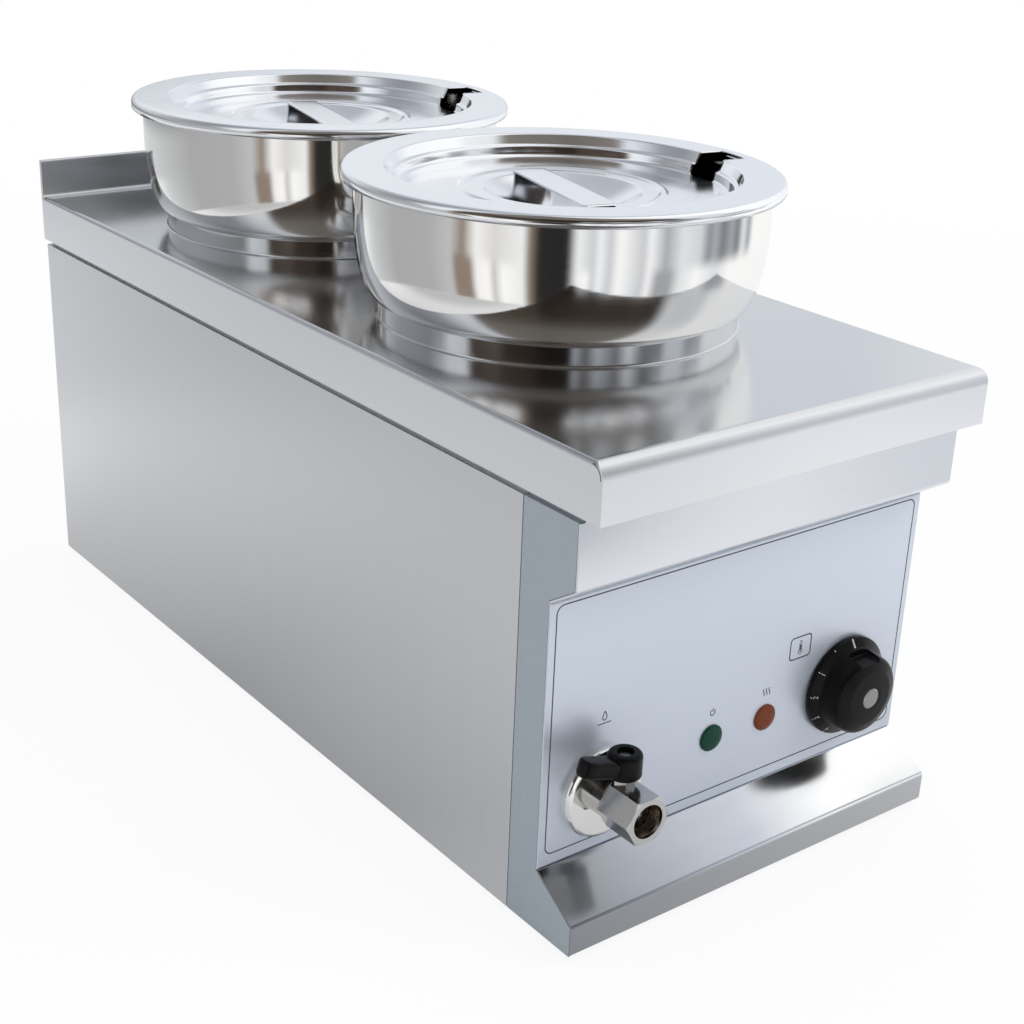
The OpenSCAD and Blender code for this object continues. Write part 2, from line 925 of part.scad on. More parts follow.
module valve_outlet() {
  color("silver")
    difference() {
      union() {
        on_valve(seat_s[1])
          cylinder(r = spigot_r, h = joint_s - seat_s[1] + fuse);
        on_valve(joint_s)
          hexagon(valve_af, valve_reach - joint_s, 0.3, 1);
      }
      on_valve(seat_s[1] - 1)
        cylinder(r = bore_r, h = valve_reach);
      on_valve(joint_s)
        cylinder(r = outlet_r, h = outlet_d + 1);
    }
}

module valve_seats() {
  color("white")
    for (s = [seat_s[0], seat_s[1] - seat_t])
      difference() {
        on_valve(s)
          ring(cavity_r - run, bore_r, seat_t);
        on_valve(stem_set)
          sphere(ball_r + run);
      }
}

module valve_ball() {
  color("silver")
    translate([valve_x, y_stem, valve_z])
      difference() {
        sphere(ball_r);
        rotate([0, 90, 0])
          translate([0, 0, -ball_r - 1])
            cylinder(r = bore_r, h = 2 * ball_r + 2);
        block([-1.4, -ball_r - 1, bore_r + 0.9], [1.4, ball_r + 1, ball_r + 1]);
      }
}

module valve_stem() {
  low = valve_z + ball_r + 0.2;
  color("silver")
    translate([valve_x, y_stem, 0])
      difference() {
        union() {
          post(0, 0, low, z_hub, stem_r);
          block([-1.3, -2.4, valve_z + bore_r + 1.1], [1.3, 2.4, low + fuse]);
          block([-2, -2, z_hub - fuse], [2, 2, z_hub + hub_h - 3]);
        }
        post(0, 0, z_hub + 1, z_hub + hub_h, 1.3 + run);
      }
}

module valve_gland_nut() {
  color("silver")
    difference() {
      union() {
        translate([valve_x, y_stem, z_flat])
          hexagon(10.4, gland_h);
        post(valve_x, y_stem, z_flat - packing_d, z_flat + fuse, packing_r);
      }
      post(valve_x, y_stem, z_flat - packing_d - 1, z_flat + gland_h + 1, stem_r + run);
    }
}

module valve_lever() {
  arm = (lever_l - lever_w / 2) / cos(lever_rise);
  color("black")
    translate([valve_x, y_stem, z_hub])
      difference() {
        union() {
          cylinder(r = hub_r, h = hub_h);
          translate([0, 0, hub_h / 2])
            rotate([0, lever_rise, 0]) {
              block([-arm, -lever_w / 2, -hub_h / 2], [0, lever_w / 2, hub_h / 2]);
              translate([-arm, 0, -hub_h / 2])
                cylinder(r = lever_w / 2, h = hub_h);
            }
        }
        block([-2 - run, -2 - run, -1], [2 + run, 2 + run, hub_h - 3 + run]);
        cylinder(r = 1.3 + run, h = hub_h + 1);
        // Room for the screw's head beside the rising arm
        translate([0, 0, hub_h])
          cylinder(r = 3.4 + near, h = hub_h);
      }
}

module lever_screw() {
  z = z_hub + hub_h;
  color("silver") {
    post(valve_x, y_stem, z, z + 1.8, 3.4);
    post(valve_x, y_stem, z - 6, z + fuse, 1.3);
  }
}

module valve_escutcheon() {
  color("silver")
    on_valve(0)
      rotate_extrude()
        polygon(sheet(bent([[plate_r, 0], [plate_r, plate_t], [tail_r + near, plate_t]], [3]), 1.2));
}

module valve_locknut() {
  color("silver")
    on_valve(-front_sheet - 5)
      nut(26, 5, tail_r);
}

// Controls

module thermostat_body() {
  color("ivory")
    difference() {
      block([knob_x - box_x, y_inside, knob_z - box_z], [knob_x + box_x, y_inside + box_d, knob_z + box_z]);
      outwards(knob_x, y_inside + 14, knob_z)
        cylinder(r = shaft_r + run, h = 15);
    }
}

bulb_x = 60;
bulb_y = tank_y[0] + 22;

module thermostat_bulb() {
  run_points = [
    [knob_x, y_inside + box_d, knob_z - 6],
    [knob_x, y_inside + box_d + 12, knob_z - 6],
    [bulb_x, tank_y[0] - 3, z_bulb - 9],
    [bulb_x, tank_y[0] + 12, z_bulb],
    [bulb_x, bulb_y + 1, z_bulb]
  ];
  color("peru") {
    for (i = [0:len(run_points) - 2])
      bar(run_points[i], run_points[i + 1], capillary_r);
    for (i = [1:len(run_points) - 2])
      translate(run_points[i])
        sphere(capillary_r + 0.2);
    bar([bulb_x, bulb_y, z_bulb], [bulb_x, bulb_y + bulb_l, z_bulb], bulb_r);
  }
}

module bulb_clip() {
  r = bulb_r + run;
  color("silver")
    translate([bulb_x, bulb_y + bulb_l / 2, 0])
      difference() {
        block([-r - 1.5, -8, z_bulb - r - 1.2], [r + 1.5, 8, z_tank]);
        bar([0, -9, z_bulb], [0, 9, z_bulb], r);
        block([-r, -9, z_bulb], [r, 9, z_tank + 1]);
      }
}

module thermostat_shaft() {
  color("silver")
    outwards(knob_x, y_inside + 12, knob_z)
      difference() {
        cylinder(r = shaft_r, h = front_sheet + 12 + knob_reach - 9);
        translate([-shaft_r, shaft_r - 1.2, front_sheet + 14])
          cube([2 * shaft_r, 3, 30]);
      }
}

module dial_knob() {
  s0 = dial_gap;
  rim = s0 + 3;
  grip_foot = s0 + 7;
  face = knob_reach;
  color("black")
    outwards(knob_x, y_panel, knob_z)
      difference() {
        rotate_extrude($fn = 96)
          polygon([
            [0, s0 + 1.5], [dial_r - 3, s0 + 1.5], [dial_r - 1.5, s0], [dial_r, s0], [dial_r, rim],
            [grip_r + 1.6, grip_foot], [grip_r + 0.4, grip_foot + 0.8],
            [grip_r, face - 6], [grip_r - 0.9, face - 4], [grip_r - 3, face - 2.3],
            [grip_r - 8, face - 1.2], [9, face - 0.5], [0, face - 0.5]
          ]);
        // Hollow behind the dial, round the boss
        translate([0, 0, s0 - 1])
          ring(grip_r - 5.5, 7, face - 6 - s0);
        // Flat thumb rest on the grip
        block([-8, grip_r - 3, grip_foot + 1.5], [8, grip_r + 5, face + 1]);
        // Hole for the shaft, with its flat
        difference() {
          cylinder(r = shaft_r + run, h = knob_reach - 8.5);
          translate([-shaft_r, shaft_r - 1.15, 0])
            cube([2 * shaft_r, 3, 30]);
        }
        // Seat of the cap
        translate([0, 0, face - 1.5])
          cylinder(r = 6 + run, h = 3);
      }
}

module knob_cap() {
  color("silver")
    outwards(knob_x, y_panel - knob_reach + 1.5, knob_z)
      rotate_extrude()
        polygon([[0, 0], [6, 0], [6, 1], [5.2, 1.5], [0, 1.5]]);
}

module lens(x) {
  inside = lamp_neck - lamp_body_wall - run;
  outwards(x, y_panel, lamp_z)
    rotate_extrude()
      polygon([
        [0, -8], [inside, -8], [inside, 0], [lamp_r, 0],
        [lamp_r, 0.8], [lamp_r - 0.7, 1.5], [lamp_r * 0.6, 2.1], [0, 2.4]
      ]);
}

module green_lens() {
  color("darkgreen")
    lens(lamp_x[0]);
}

module orange_lens() {
  color("chocolate")
    lens(lamp_x[1]);
}

module lamp_holders() {
  color("dimgray")
    for (x = lamp_x)
      outwards(x, y_panel + lamp_body_l, lamp_z) {
        difference() {
          cylinder(r = lamp_neck, h = lamp_body_l);
          translate([0, 0, lamp_body_end])
            cylinder(r = lamp_neck - lamp_body_wall, h = lamp_body_l);
        }
        for (t = [-2.5, 2.5])
          block([t - 0.4, -2, -7], [t + 0.4, 2, fuse]);
      }
}

module lamp_clips() {
  color("silver")
    for (x = lamp_x)
      outwards(x, y_inside + 1.2, lamp_z)
        ring(lamp_neck + 3, lamp_neck + run, 1.2);
}

// Wiring and earth

term_pitch = 10;
term_w = 8;
term_d = 12;
term_r = 2;
term_h = 18;
term_step = 6;
term_set = 22;
term_y = y_inside + term_set;
term_z = z_plate + term_h;
term_foot_z = term_z - term_step;
term_hole_z = z_plate + term_step;
term_x = [for (i = [0:5]) (i - 2.5) * term_pitch];

module terminal_block() {
  y = [term_y - term_d / 2, term_y + term_d / 2];
  color("ivory")
    difference() {
      union() {
        block([-3.1 * term_pitch, y[0], z_plate], [3.1 * term_pitch, y[1], term_foot_z]);
        for (x = term_x)
          block([x - term_w / 2, y[0], term_foot_z - 1], [x + term_w / 2, y[1], term_z]);
      }
      for (x = term_x) {
        outwards(x, y[1] + 1, term_hole_z)
          cylinder(r = term_r, h = term_d + 2);
        post(x, term_y, term_hole_z + term_r, term_z + 1, term_r);
      }
    }
}

module terminal_screws() {
  color("silver")
    for (x = term_x)
      post(x, term_y, term_hole_z + term_r + 0.5, term_z - 1, term_r - run);
}

module cable_gland() {
  color("black")
    backwards(gland_x, y_case - case_sheet - 8, gland_z)
      difference() {
        union() {
          cylinder(r = gland_body, h = case_sheet + 8 + fuse);
          translate([0, 0, case_sheet + 8])
            hexagon(2 * gland_body + 4, 3);
          translate([0, 0, case_sheet + 10])
            cylinder(r = gland_body - 0.5, h = gland_head - 2);
        }
        translate([0, 0, -1])
          cylinder(r = gland_r, h = case_sheet + gland_head + 10);
      }
}

module gland_nut() {
  color("black")
    backwards(gland_x, y_case - case_sheet - 4, gland_z)
      nut(2 * gland_body + 6, 4, gland_body);
}

module earth_stud() {
  color("gold") {
    backwards(earth_x, y_case - case_sheet - 3, earth_z)
      hexagon(10, 3);
    backwards(earth_x, y_case - case_sheet - 1, earth_z)
      cylinder(r = earth_r, h = case_sheet + 7);
  }
}

module earth_nut() {
  color("gold")
    backwards(earth_x, y_case, earth_z)
      nut(10, 3, earth_r);
}

// Pots and lids

belly_power = 2.3;

// Outside of a pot, from the middle of its floor up to its rim
pot_line = concat(
  [[0, z_floor]],
  arc([neck_r - floor_r, z_floor + floor_r], floor_r, 270, 360, bend_steps),
  arc([neck_r + seat_bend, z_seat - seat_bend], seat_bend, 180, 90, bend_steps),
  [for (i = [curve_steps:-1:0])
    let (g = 90 * i / curve_steps)
    [
      seat_r + (pot_r - seat_r) * pow(cos(g), 2 / belly_power),
      z_belly - (z_belly - z_seat) * pow(sin(g), 2 / belly_power)
    ]],
  arc([pot_r + 1, z_rim - pot_sheet - 1], 1, 180, 90, 3),
  [[pot_r + rim_w, z_rim - pot_sheet]]
);

// Outline of a spun sheet, closed on the axis
function spun(p, t) = [for (q = sheet(p, t)) [q[0] < 0.5 ? 0 : q[0], q[1]]];

module pot(y) {
  color("silver")
    translate([0, y, 0])
      rotate_extrude($fn = 96)
        polygon(spun(pot_line, pot_sheet));
}

module front_pot() {
  pot(pot_y[0]);
}

module back_pot() {
  pot(pot_y[1]);
}

hem_bend = 3;
ledge_r = recess_r - 3;
plate_out = ledge_r - ledge_w - 0.8;
dish_sphere = (dish_r * dish_r + dish_d * dish_d) / (2 * dish_d);
dish_edge = asin((dish_r - 1) / dish_sphere);

// Top of a lid, from the foot of its turned-down edge in to the middle of the dish
lid_line = concat(
  [[lid_r, z_lid - hem_h]],
  arc([lid_r - hem_bend, z_lid - hem_bend], hem_bend, 0, 90, bend_steps),
  arc([recess_r + 1.5, z_lid - 1.5], 1.5, 90, 170, 4),
  [
    [ledge_r, z_lid - recess_d / 2],
    [ledge_r - ledge_w, z_lid - recess_d / 2 - 0.4],
    [plate_out, z_dish + 1],
    [plate_out - 1, z_dish],
    [bead_r + 1.6, z_dish],
    [bead_r + 0.7, z_dish + 1],
    [bead_r - 0.7, z_dish + 1],
    [bead_r - 1.6, z_dish],
    [dish_r + 1, z_dish]
  ],
  [for (i = [curve_steps:-1:0])
    let (g = dish_edge * i / curve_steps)
    [dish_sphere * sin(g), z_dish - dish_d + dish_sphere * (1 - cos(g))]]
);

module lid(y) {
  color("whitesmoke")
    translate([0, y, 0])
      difference() {
        rotate_extrude($fn = 96)
          polygon(spun(lid_line, lid_sheet));
        rotate([0, 0, slot_turn])
          translate([0, 0, z_dish - 3])
            linear_extrude(recess_d + 6)
              round_rect(plate_out - 1.5, slot_r, -slot_w / 2, slot_w / 2, 2.5);
      }
}

module strap(y) {
  half = dish_r + strap_over;
  color("silver")
    translate([0, y, z_dish])
      rotate([0, 0, strap_turn])
        linear_extrude(strap_t)
          round_rect(-strap_w / 2, strap_w / 2, -half, half, 3);
}

module front_lid() {
  lid(pot_y[0]);
}

module back_lid() {
  lid(pot_y[1]);
}

module front_lid_strap() {
  strap(pot_y[0]);
}

module back_lid_strap() {
  strap(pot_y[1]);
}

worktop();
worktop_nuts();
left_side();
right_side();
back_panel();
left_cheek();
right_cheek();
base_plate();
base_screws();
rubber_feet();
foot_screws();
front_header();
control_panel();
kick_toe();
water_tank();
heating_element();
heater_nuts();
heater_clips();
limit_thermostat();
drain_pipe();
valve_body();
valve_outlet();
valve_seats();
valve_ball();
valve_stem();
valve_gland_nut();
valve_lever();
lever_screw();
valve_escutcheon();
valve_locknut();
thermostat_body();
thermostat_bulb();
bulb_clip();
thermostat_shaft();
dial_knob();
knob_cap();
green_lens();
orange_lens();
lamp_holders();
lamp_clips();
terminal_block();
terminal_screws();
cable_gland();
gland_nut();
earth_stud();
earth_nut();
front_pot();
back_pot();
front_lid();
back_lid();
front_lid_strap();
back_lid_strap();
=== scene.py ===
"""Finishes, printed marks and smooth spun pieces of a two-pot bain marie, made around its CAD frame."""

import math

import bmesh
import bpy
import numpy as np
from mathutils import Matrix, Vector


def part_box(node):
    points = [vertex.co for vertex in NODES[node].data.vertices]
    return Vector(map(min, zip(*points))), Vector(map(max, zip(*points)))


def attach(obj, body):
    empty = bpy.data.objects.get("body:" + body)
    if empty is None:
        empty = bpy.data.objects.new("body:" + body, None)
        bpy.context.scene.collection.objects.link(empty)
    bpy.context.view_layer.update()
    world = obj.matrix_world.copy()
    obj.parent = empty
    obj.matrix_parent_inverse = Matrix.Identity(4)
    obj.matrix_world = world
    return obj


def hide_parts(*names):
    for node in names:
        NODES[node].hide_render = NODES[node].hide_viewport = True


bl_info = {
    "name": "Two-pot bain marie",
    "version": (1, 0, 0),
    "blender": (4, 5, 0),
    "location": "3D View > Sidebar > Bain marie",
    "description": "Gives a counter-top bain marie its finishes, printed marks and spun pots",
    "category": "Object",
}

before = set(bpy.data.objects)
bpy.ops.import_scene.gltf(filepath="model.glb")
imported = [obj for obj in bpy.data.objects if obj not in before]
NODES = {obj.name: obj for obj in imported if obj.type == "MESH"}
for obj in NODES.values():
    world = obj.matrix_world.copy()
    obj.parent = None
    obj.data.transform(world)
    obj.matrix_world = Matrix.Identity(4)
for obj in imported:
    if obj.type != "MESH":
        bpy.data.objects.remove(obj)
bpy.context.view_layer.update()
MM = 0.001
# Thickness of a printed line
PRINT = 0.05 * MM

# Places and sizes of the frame that the new pieces are fitted to, in metres
PANEL_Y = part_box("control_panel")[0].y
POT_BOX = {"front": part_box("front_pot"), "back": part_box("back_pot")}
LID_BOX = {"front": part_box("front_lid"), "back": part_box("back_lid")}
KNOB_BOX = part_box("dial_knob")
STEM_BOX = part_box("valve_stem")
LEVER_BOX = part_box("valve_lever")
OUTLET_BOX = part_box("valve_outlet")


def middle(box):
    """The middle of a box given by its two corners."""
    return (box[0] + box[1]) / 2


# Sizes and colours that a user would change


def length_property(name, description, default, low, high):
    """A length that a user would change, given in millimetres and kept in metres."""
    return bpy.props.FloatProperty(
        name=name, description=description, default=default * MM, min=low * MM, max=high * MM, unit="LENGTH")


def angle_property(name, description, degrees):
    """An angle that a user would change, given in degrees and kept in radians."""
    return bpy.props.FloatProperty(
        name=name, description=description, default=math.radians(degrees), subtype="ANGLE")


def colour_property(name, description, default):
    """A colour that a user would change, as an sRGB hex value."""
    return bpy.props.StringProperty(name=name, description=description, default=default)


class PotSizes(bpy.types.PropertyGroup):
    """Sizes of the pots, their lids and the straps."""

    sheet: length_property("Sheet", "Thickness of the pots' and lids' sheet", 1, 0.6, 1.5)
    neck: length_property("Neck radius", "Outside radius of a pot's neck inside the well", 96.5, 90, 98)
    seat: length_property("Seat radius", "Outer radius of the flat ring a pot stands on", 101.4, 100, 102)
    seat_height: length_property("Seat height", "Height of that ring above a pot's floor", 106.3, 100, 110)
    belly: length_property(
        "Belly height", "Height from the seat to where a pot's wall becomes straight", 50.7, 40, 60)
    belly_power: bpy.props.FloatProperty(
        name="Belly fullness", description="Power of the curve that a pot's wall follows above its seat",
        default=2.3, min=2, max=4, subtype="FACTOR")
    rim: length_property("Rim width", "Width of a pot's rim outside its wall", 4, 2, 6)
    recess: length_property("Recess radius", "Radius of a lid's sunken middle", 99, 90, 101)
    recess_depth: length_property("Recess depth", "Depth of a lid's sunken middle", 12, 8, 14)
    bead: length_property("Bead radius", "Radius of the raised bead in a lid's sunken middle", 55.5, 50, 70)
    dish: length_property("Dish radius", "Radius of the finger dish in a lid", 44, 36, 46)
    dish_depth: length_property("Dish depth", "Depth of the finger dish in a lid", 14, 10, 15)
    strap: length_property("Strap width", "Width of the strap over the finger dish", 20, 14, 26)
    strap_turn: angle_property("Strap turn", "Turn of the strap from the front-to-back line", -14)
    slot: length_property("Slot width", "Width of the ladle slot in a lid", 23, 14, 26)
    slot_reach: length_property(
        "Slot reach", "Distance from a lid's middle to the outer end of its ladle slot", 114, 110, 118)
    slot_turn: angle_property("Slot turn", "Direction of the ladle slot from the right-hand side", -9)


class FrontSizes(bpy.types.PropertyGroup):
    """Sizes of the dial, the lever and the printed marks on the front."""

    dial: length_property("Dial radius", "Radius of the knob's dial", 29.5, 28, 31.4)
    grip: length_property("Grip radius", "Radius of the knob's grip", 22.9, 20, 26)
    numeral: length_property("Numeral height", "Height of the numbers on the dial", 2.8, 2, 4)
    lever_rise: angle_property("Lever slope", "Slope of the drain lever's arm", 17)
    border: length_property("Border line", "Width of the line printed round the panel", 0.7, 0.3, 1.5)
    pictogram: length_property("Pictogram line", "Width of the lines of most pictograms", 0.6, 0.3, 1)


class Finishes(bpy.types.PropertyGroup):
    """Colours of the bain marie's finishes."""

    pot: colour_property("Pots", "Colour of the mirror-polished steel", "#F4F3F1")
    lid: colour_property("Lids", "Colour of the polished lids", "#F8F9FB")
    worktop: colour_property("Worktop", "Colour of the brushed worktop", "#E8E9EB")
    casing: colour_property("Casing", "Colour of the satin casing", "#E2E3E5")
    cheek: colour_property("Cheeks", "Colour of the coated front cheeks", "#9AA3AA")
    panel: colour_property("Control panel", "Colour of the control panel", "#D3DAE5")
    green: colour_property("Power lamp", "Colour of the power lamp's lens", "#103F32")
    orange: colour_property("Heat lamp", "Colour of the heat lamp's lens", "#733A21")
    plastic: colour_property("Knob and lever", "Colour of the black plastic", "#0B0A0A")


# Shapes


def linked(name, data):
    """A new object in the scene for a mesh, a light, a camera or a text."""
    obj = bpy.data.objects.new(name, data)
    bpy.context.scene.collection.objects.link(obj)
    return obj


def smoothed(mesh, below):
    """Shades faces that meet at less than below degrees as one surface."""
    mesh.polygons.foreach_set("use_smooth", np.ones(len(mesh.polygons), bool))
    mesh.set_sharp_from_angle(angle=math.radians(below))


def evaluated_mesh(obj):
    """A plain mesh of the object as its modifiers or its text leave it."""
    bpy.context.view_layer.update()
    return bpy.data.meshes.new_from_object(obj.evaluated_get(bpy.context.evaluated_depsgraph_get()))


def mesh_object(name, points, faces, smooth_below=40):
    """Makes a mesh of points and four-cornered faces. Corners that fall together are merged, so a pole
    closes. Faces that meet at less than smooth_below degrees are shaded as one surface."""
    mesh = bpy.data.meshes.new(name)
    points = np.asarray(points, np.float32).reshape(-1, 3)
    faces = np.asarray(faces, np.int32).reshape(-1, 4)
    mesh.vertices.add(len(points))
    mesh.vertices.foreach_set("co", points.ravel())
    mesh.loops.add(faces.size)
    mesh.loops.foreach_set("vertex_index", faces.ravel())
    mesh.polygons.add(len(faces))
    mesh.polygons.foreach_set("loop_start", np.arange(0, faces.size, 4, dtype=np.int32))
    mesh.update(calc_edges=True)
    work = bmesh.new()
    work.from_mesh(mesh)
    bmesh.ops.remove_doubles(work, verts=work.verts, dist=1e-6)
    bmesh.ops.recalc_face_normals(work, faces=work.faces)
    work.to_mesh(mesh)
    work.free()
    smoothed(mesh, smooth_below)
    return linked(name, mesh)


def grid_faces(rows, columns, close_rows=False):
    """Faces of a grid of rows by columns of points. The last column joins the first; the last row may too."""
    i = np.arange(rows if close_rows else rows - 1)
    i, j = np.meshgrid(i, np.arange(columns), indexing="ij")
    i2, j2 = (i + 1) % rows, (j + 1) % columns
    return np.stack([i * columns + j, i2 * columns + j, i2 * columns + j2, i * columns + j2], -1)


def rounded(points, radii, steps=10):
    """A line through the points whose inner corners are arcs of the radii. Each arc touches both legs of
    its corner at radius * tan(turn / 2) from it."""
    points = [np.array(p, float) for p in points]
    line = [points[0]]
    for before, corner, after, r in zip(points, points[1:], points[2:], radii):
        u = (before - corner) / np.linalg.norm(before - corner)
        v = (after - corner) / np.linalg.norm(after - corner)
        turn = math.pi - math.acos(float(np.clip(u @ v, -1, 1)))
        if r <= 0 or turn < 0.01:
            line.append(corner)
            continue
        reach = r * math.tan(turn / 2)
        centre = corner + (u + v) / np.linalg.norm(u + v) * r / math.cos(turn / 2)
        start = corner + u * reach - centre
        way = -math.copysign(1, u[0] * v[1] - u[1] * v[0])
        for a in np.linspace(0, turn, steps):
            c, s = math.cos(way * a), math.sin(way * a)
            line.append(centre + [start[0] * c - start[1] * s, start[0] * s + start[1] * c])
    line.append(points[-1])
    return np.array(line)


def beside(line, t):
    """The line moved by t to its left: each point goes along the mean of the two legs' normals,
    lengthened so that the legs stay parallel."""
    legs = np.diff(line, axis=0)
    legs /= np.linalg.norm(legs, axis=1)[:, None]
    normals = np.stack([-legs[:, 1], legs[:, 0]], 1)
    a, b = np.vstack([normals[:1], normals]), np.vstack([normals, normals[-1:]])
    return line + t * (a + b) / (1 + (a * b).sum(1))[:, None]


def evened(line, step):
    """The same line with points added so that no leg is longer than step."""
    out = [line[:1]]
    for a, b in zip(line, line[1:]):
        n = max(1, math.ceil(np.linalg.norm(b - a) / step))
        out.append(a + (b - a) * np.linspace(0, 1, n + 1)[1:, None])
    return np.vstack(out)


def spun(name, line, centre, around):
    """Turns a line of (radius, height) about the upright axis through centre:
    x = radius * cos(a), y = radius * sin(a), z = height, for the angle a all round."""
    a = np.linspace(0, 2 * math.pi, around, endpoint=False)
    r, h = np.maximum(line[:, :1], 0), line[:, 1:]
    points = np.stack([centre[0] + r * np.cos(a), centre[1] + r * np.sin(a), h + 0 * a], -1)
    return mesh_object(name, points, grid_faces(len(line), around))


def place(obj, matrix):
    """Moves the mesh itself, so that the object stays at the origin, unturned."""
    obj.data.transform(matrix)
    if matrix.determinant() < 0:
        obj.data.flip_normals()
    return obj


def out_of_panel(x, z):
    """The frame of a piece on the control panel: its own Z points out of the front, its own Y up."""
    return Matrix.Translation((x, PANEL_Y, z)) @ Matrix.Rotation(math.pi / 2, 4, "X")


def settle(obj, body, slot, material, *stands_for):
    """Lets a finished piece ride on its body, with its finish, in place of the nodes it stands for."""
    obj.data.materials.clear()
    obj.data.materials.append(material)
    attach(obj, body)
    if stands_for:
        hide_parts(*stands_for)


def pot_line(sizes, box):
    """Section of a pot, from the middle of its outer floor up over its rim and back to the middle inside.
    Its belly is r = seat + (wall - seat) * cos(g) ** (2 / p), h = top - height * sin(g) ** (2 / p)."""
    low, high = box[0].z, box[1].z
    wall = (box[1].x - box[0].x) / 2 - sizes.rim
    seat_z = low + sizes.seat_height
    foot_bend, seat_bend, rim_bend = 12 * MM, 3 * MM, 1 * MM
    g = np.linspace(math.pi / 2, 0, 48)
    power = 2 / sizes.belly_power
    belly = np.stack([
        sizes.seat + (wall - sizes.seat) * np.cos(g).clip(0) ** power,
        seat_z + sizes.belly * (1 - np.sin(g) ** power),
    ], 1)
    floor_and_neck = rounded(
        [(0, low), (sizes.neck, low), (sizes.neck, seat_z), (sizes.seat - 0.2 * MM, seat_z)],
        [foot_bend, seat_bend])
    edge = high - sizes.sheet
    rim = rounded([(wall, belly[-1, 1] + 1 * MM), (wall, edge), (wall + sizes.rim, edge)], [rim_bend], 6)
    outer = evened(np.vstack([floor_and_neck, belly, rim]), 6 * MM)
    inner = beside(outer, sizes.sheet)
    return np.vstack([outer, inner[::-1]])


def lid_line(sizes, box):
    """Section of a lid's upper face, from the middle of the finger dish out to its turned-down edge.
    The dish is part of a sphere of radius (dish ** 2 + depth ** 2) / (2 * depth)."""
    radius, top, turned_down = (box[1].x - box[0].x) / 2, box[1].z, 6 * MM
    plate = top - sizes.recess_depth
    ball = (sizes.dish ** 2 + sizes.dish_depth ** 2) / (2 * sizes.dish_depth)
    g = np.linspace(0, math.asin((sizes.dish - 3 * MM) / ball), 28)
    dish = np.stack([ball * np.sin(g), plate - sizes.dish_depth + ball * (1 - np.cos(g))], 1)
    ledge = sizes.recess - 3 * MM
    inner = ledge - 2.6 * MM
    half = top - sizes.recess_depth / 2
    bead = sizes.bead
    edge = rounded([
        dish[-1], (sizes.dish + 0.2 * MM, plate), (bead - 3 * MM, plate), (bead - 1 * MM, plate + 1 * MM),
        (bead + 1 * MM, plate + 1 * MM), (bead + 3 * MM, plate), (inner - 1 * MM, plate),
        (inner, half - 0.4 * MM), (ledge, half), (sizes.recess - 0.3 * MM, top), (radius, top),
        (radius, top - turned_down),
    ], [4 * MM, 2 * MM, 0.8 * MM, 0.8 * MM, 2 * MM, 1.8 * MM, 1.2 * MM, 1.2 * MM, 1.6 * MM, 3 * MM])
    return evened(np.vstack([dish[:-1], edge]), 5 * MM)


def slotted_lid(name, line, centre, sizes):
    """Spins the lid's upper face with a slot left out of it. The slot's sides are straight, so at the radius
    r its half angle is asin(half width / r), and the rest of the circle is spread evenly over what is left.
    Within a corner's radius c of an end the half width is smaller by c - sqrt(c ** 2 - (c - d) ** 2), where
    d is the distance from that end."""
    around, in_slot, corner, into_recess = 240, 12, 2.5 * MM, 7.9 * MM
    first, last = sizes.recess - into_recess, sizes.slot_reach
    g = 1 - np.cos(np.linspace(0, math.pi / 2, 6))
    stops = np.concatenate([first + corner * g, last - corner * g])
    rows = [line[0]]
    for a, b in zip(line, line[1:]):
        for r in np.sort(stops[(stops > a[0] + 1e-5) & (stops < b[0] - 1e-5)]):
            rows.append(a + (b - a) * (r - a[0]) / (b[0] - a[0]))
        rows.append(b)
    line = np.array(rows)
    r = line[:, :1]
    d = np.clip(np.minimum(r - first, last - r), 0, corner)
    half = sizes.slot / 2 - corner + np.sqrt(np.maximum(corner ** 2 - (corner - d) ** 2, 0))
    gap = np.arcsin(half / np.maximum(r, first))
    inside = np.linspace(-1, 1, in_slot + 1)[None, :-1] * gap
    outside = gap + np.linspace(0, 1, around, endpoint=False)[None, :] * (2 * math.pi - 2 * gap)
    a = np.hstack([inside, outside]) + sizes.slot_turn
    points = np.stack([centre.x + r * np.cos(a), centre.y + r * np.sin(a), line[:, 1:] + 0 * a], -1)
    faces = grid_faces(len(line), a.shape[1])
    mean = (line[:-1, 0] + line[1:, 0]) / 2
    keep = np.ones(faces.shape[:2], bool)
    keep[np.ix_(np.nonzero((mean > first) & (mean < last))[0], np.arange(in_slot))] = False
    obj = mesh_object(name, points, faces[keep])
    if sum(f.normal.z * f.area for f in obj.data.polygons) < 0:
        obj.data.flip_normals()
    wall = obj.modifiers.new("Sheet", "SOLIDIFY")
    wall.thickness = sizes.sheet
    wall.offset = -1
    wall.use_even_offset = True
    return obj


def capped(sections):
    """Closed sections with a pole added in the middle of the first and of the last, to close the ends."""
    poles = [end.mean(1, keepdims=True) + 0 * end for end in (sections[:1], sections[-1:])]
    return np.concatenate([poles[0], sections, poles[1]])


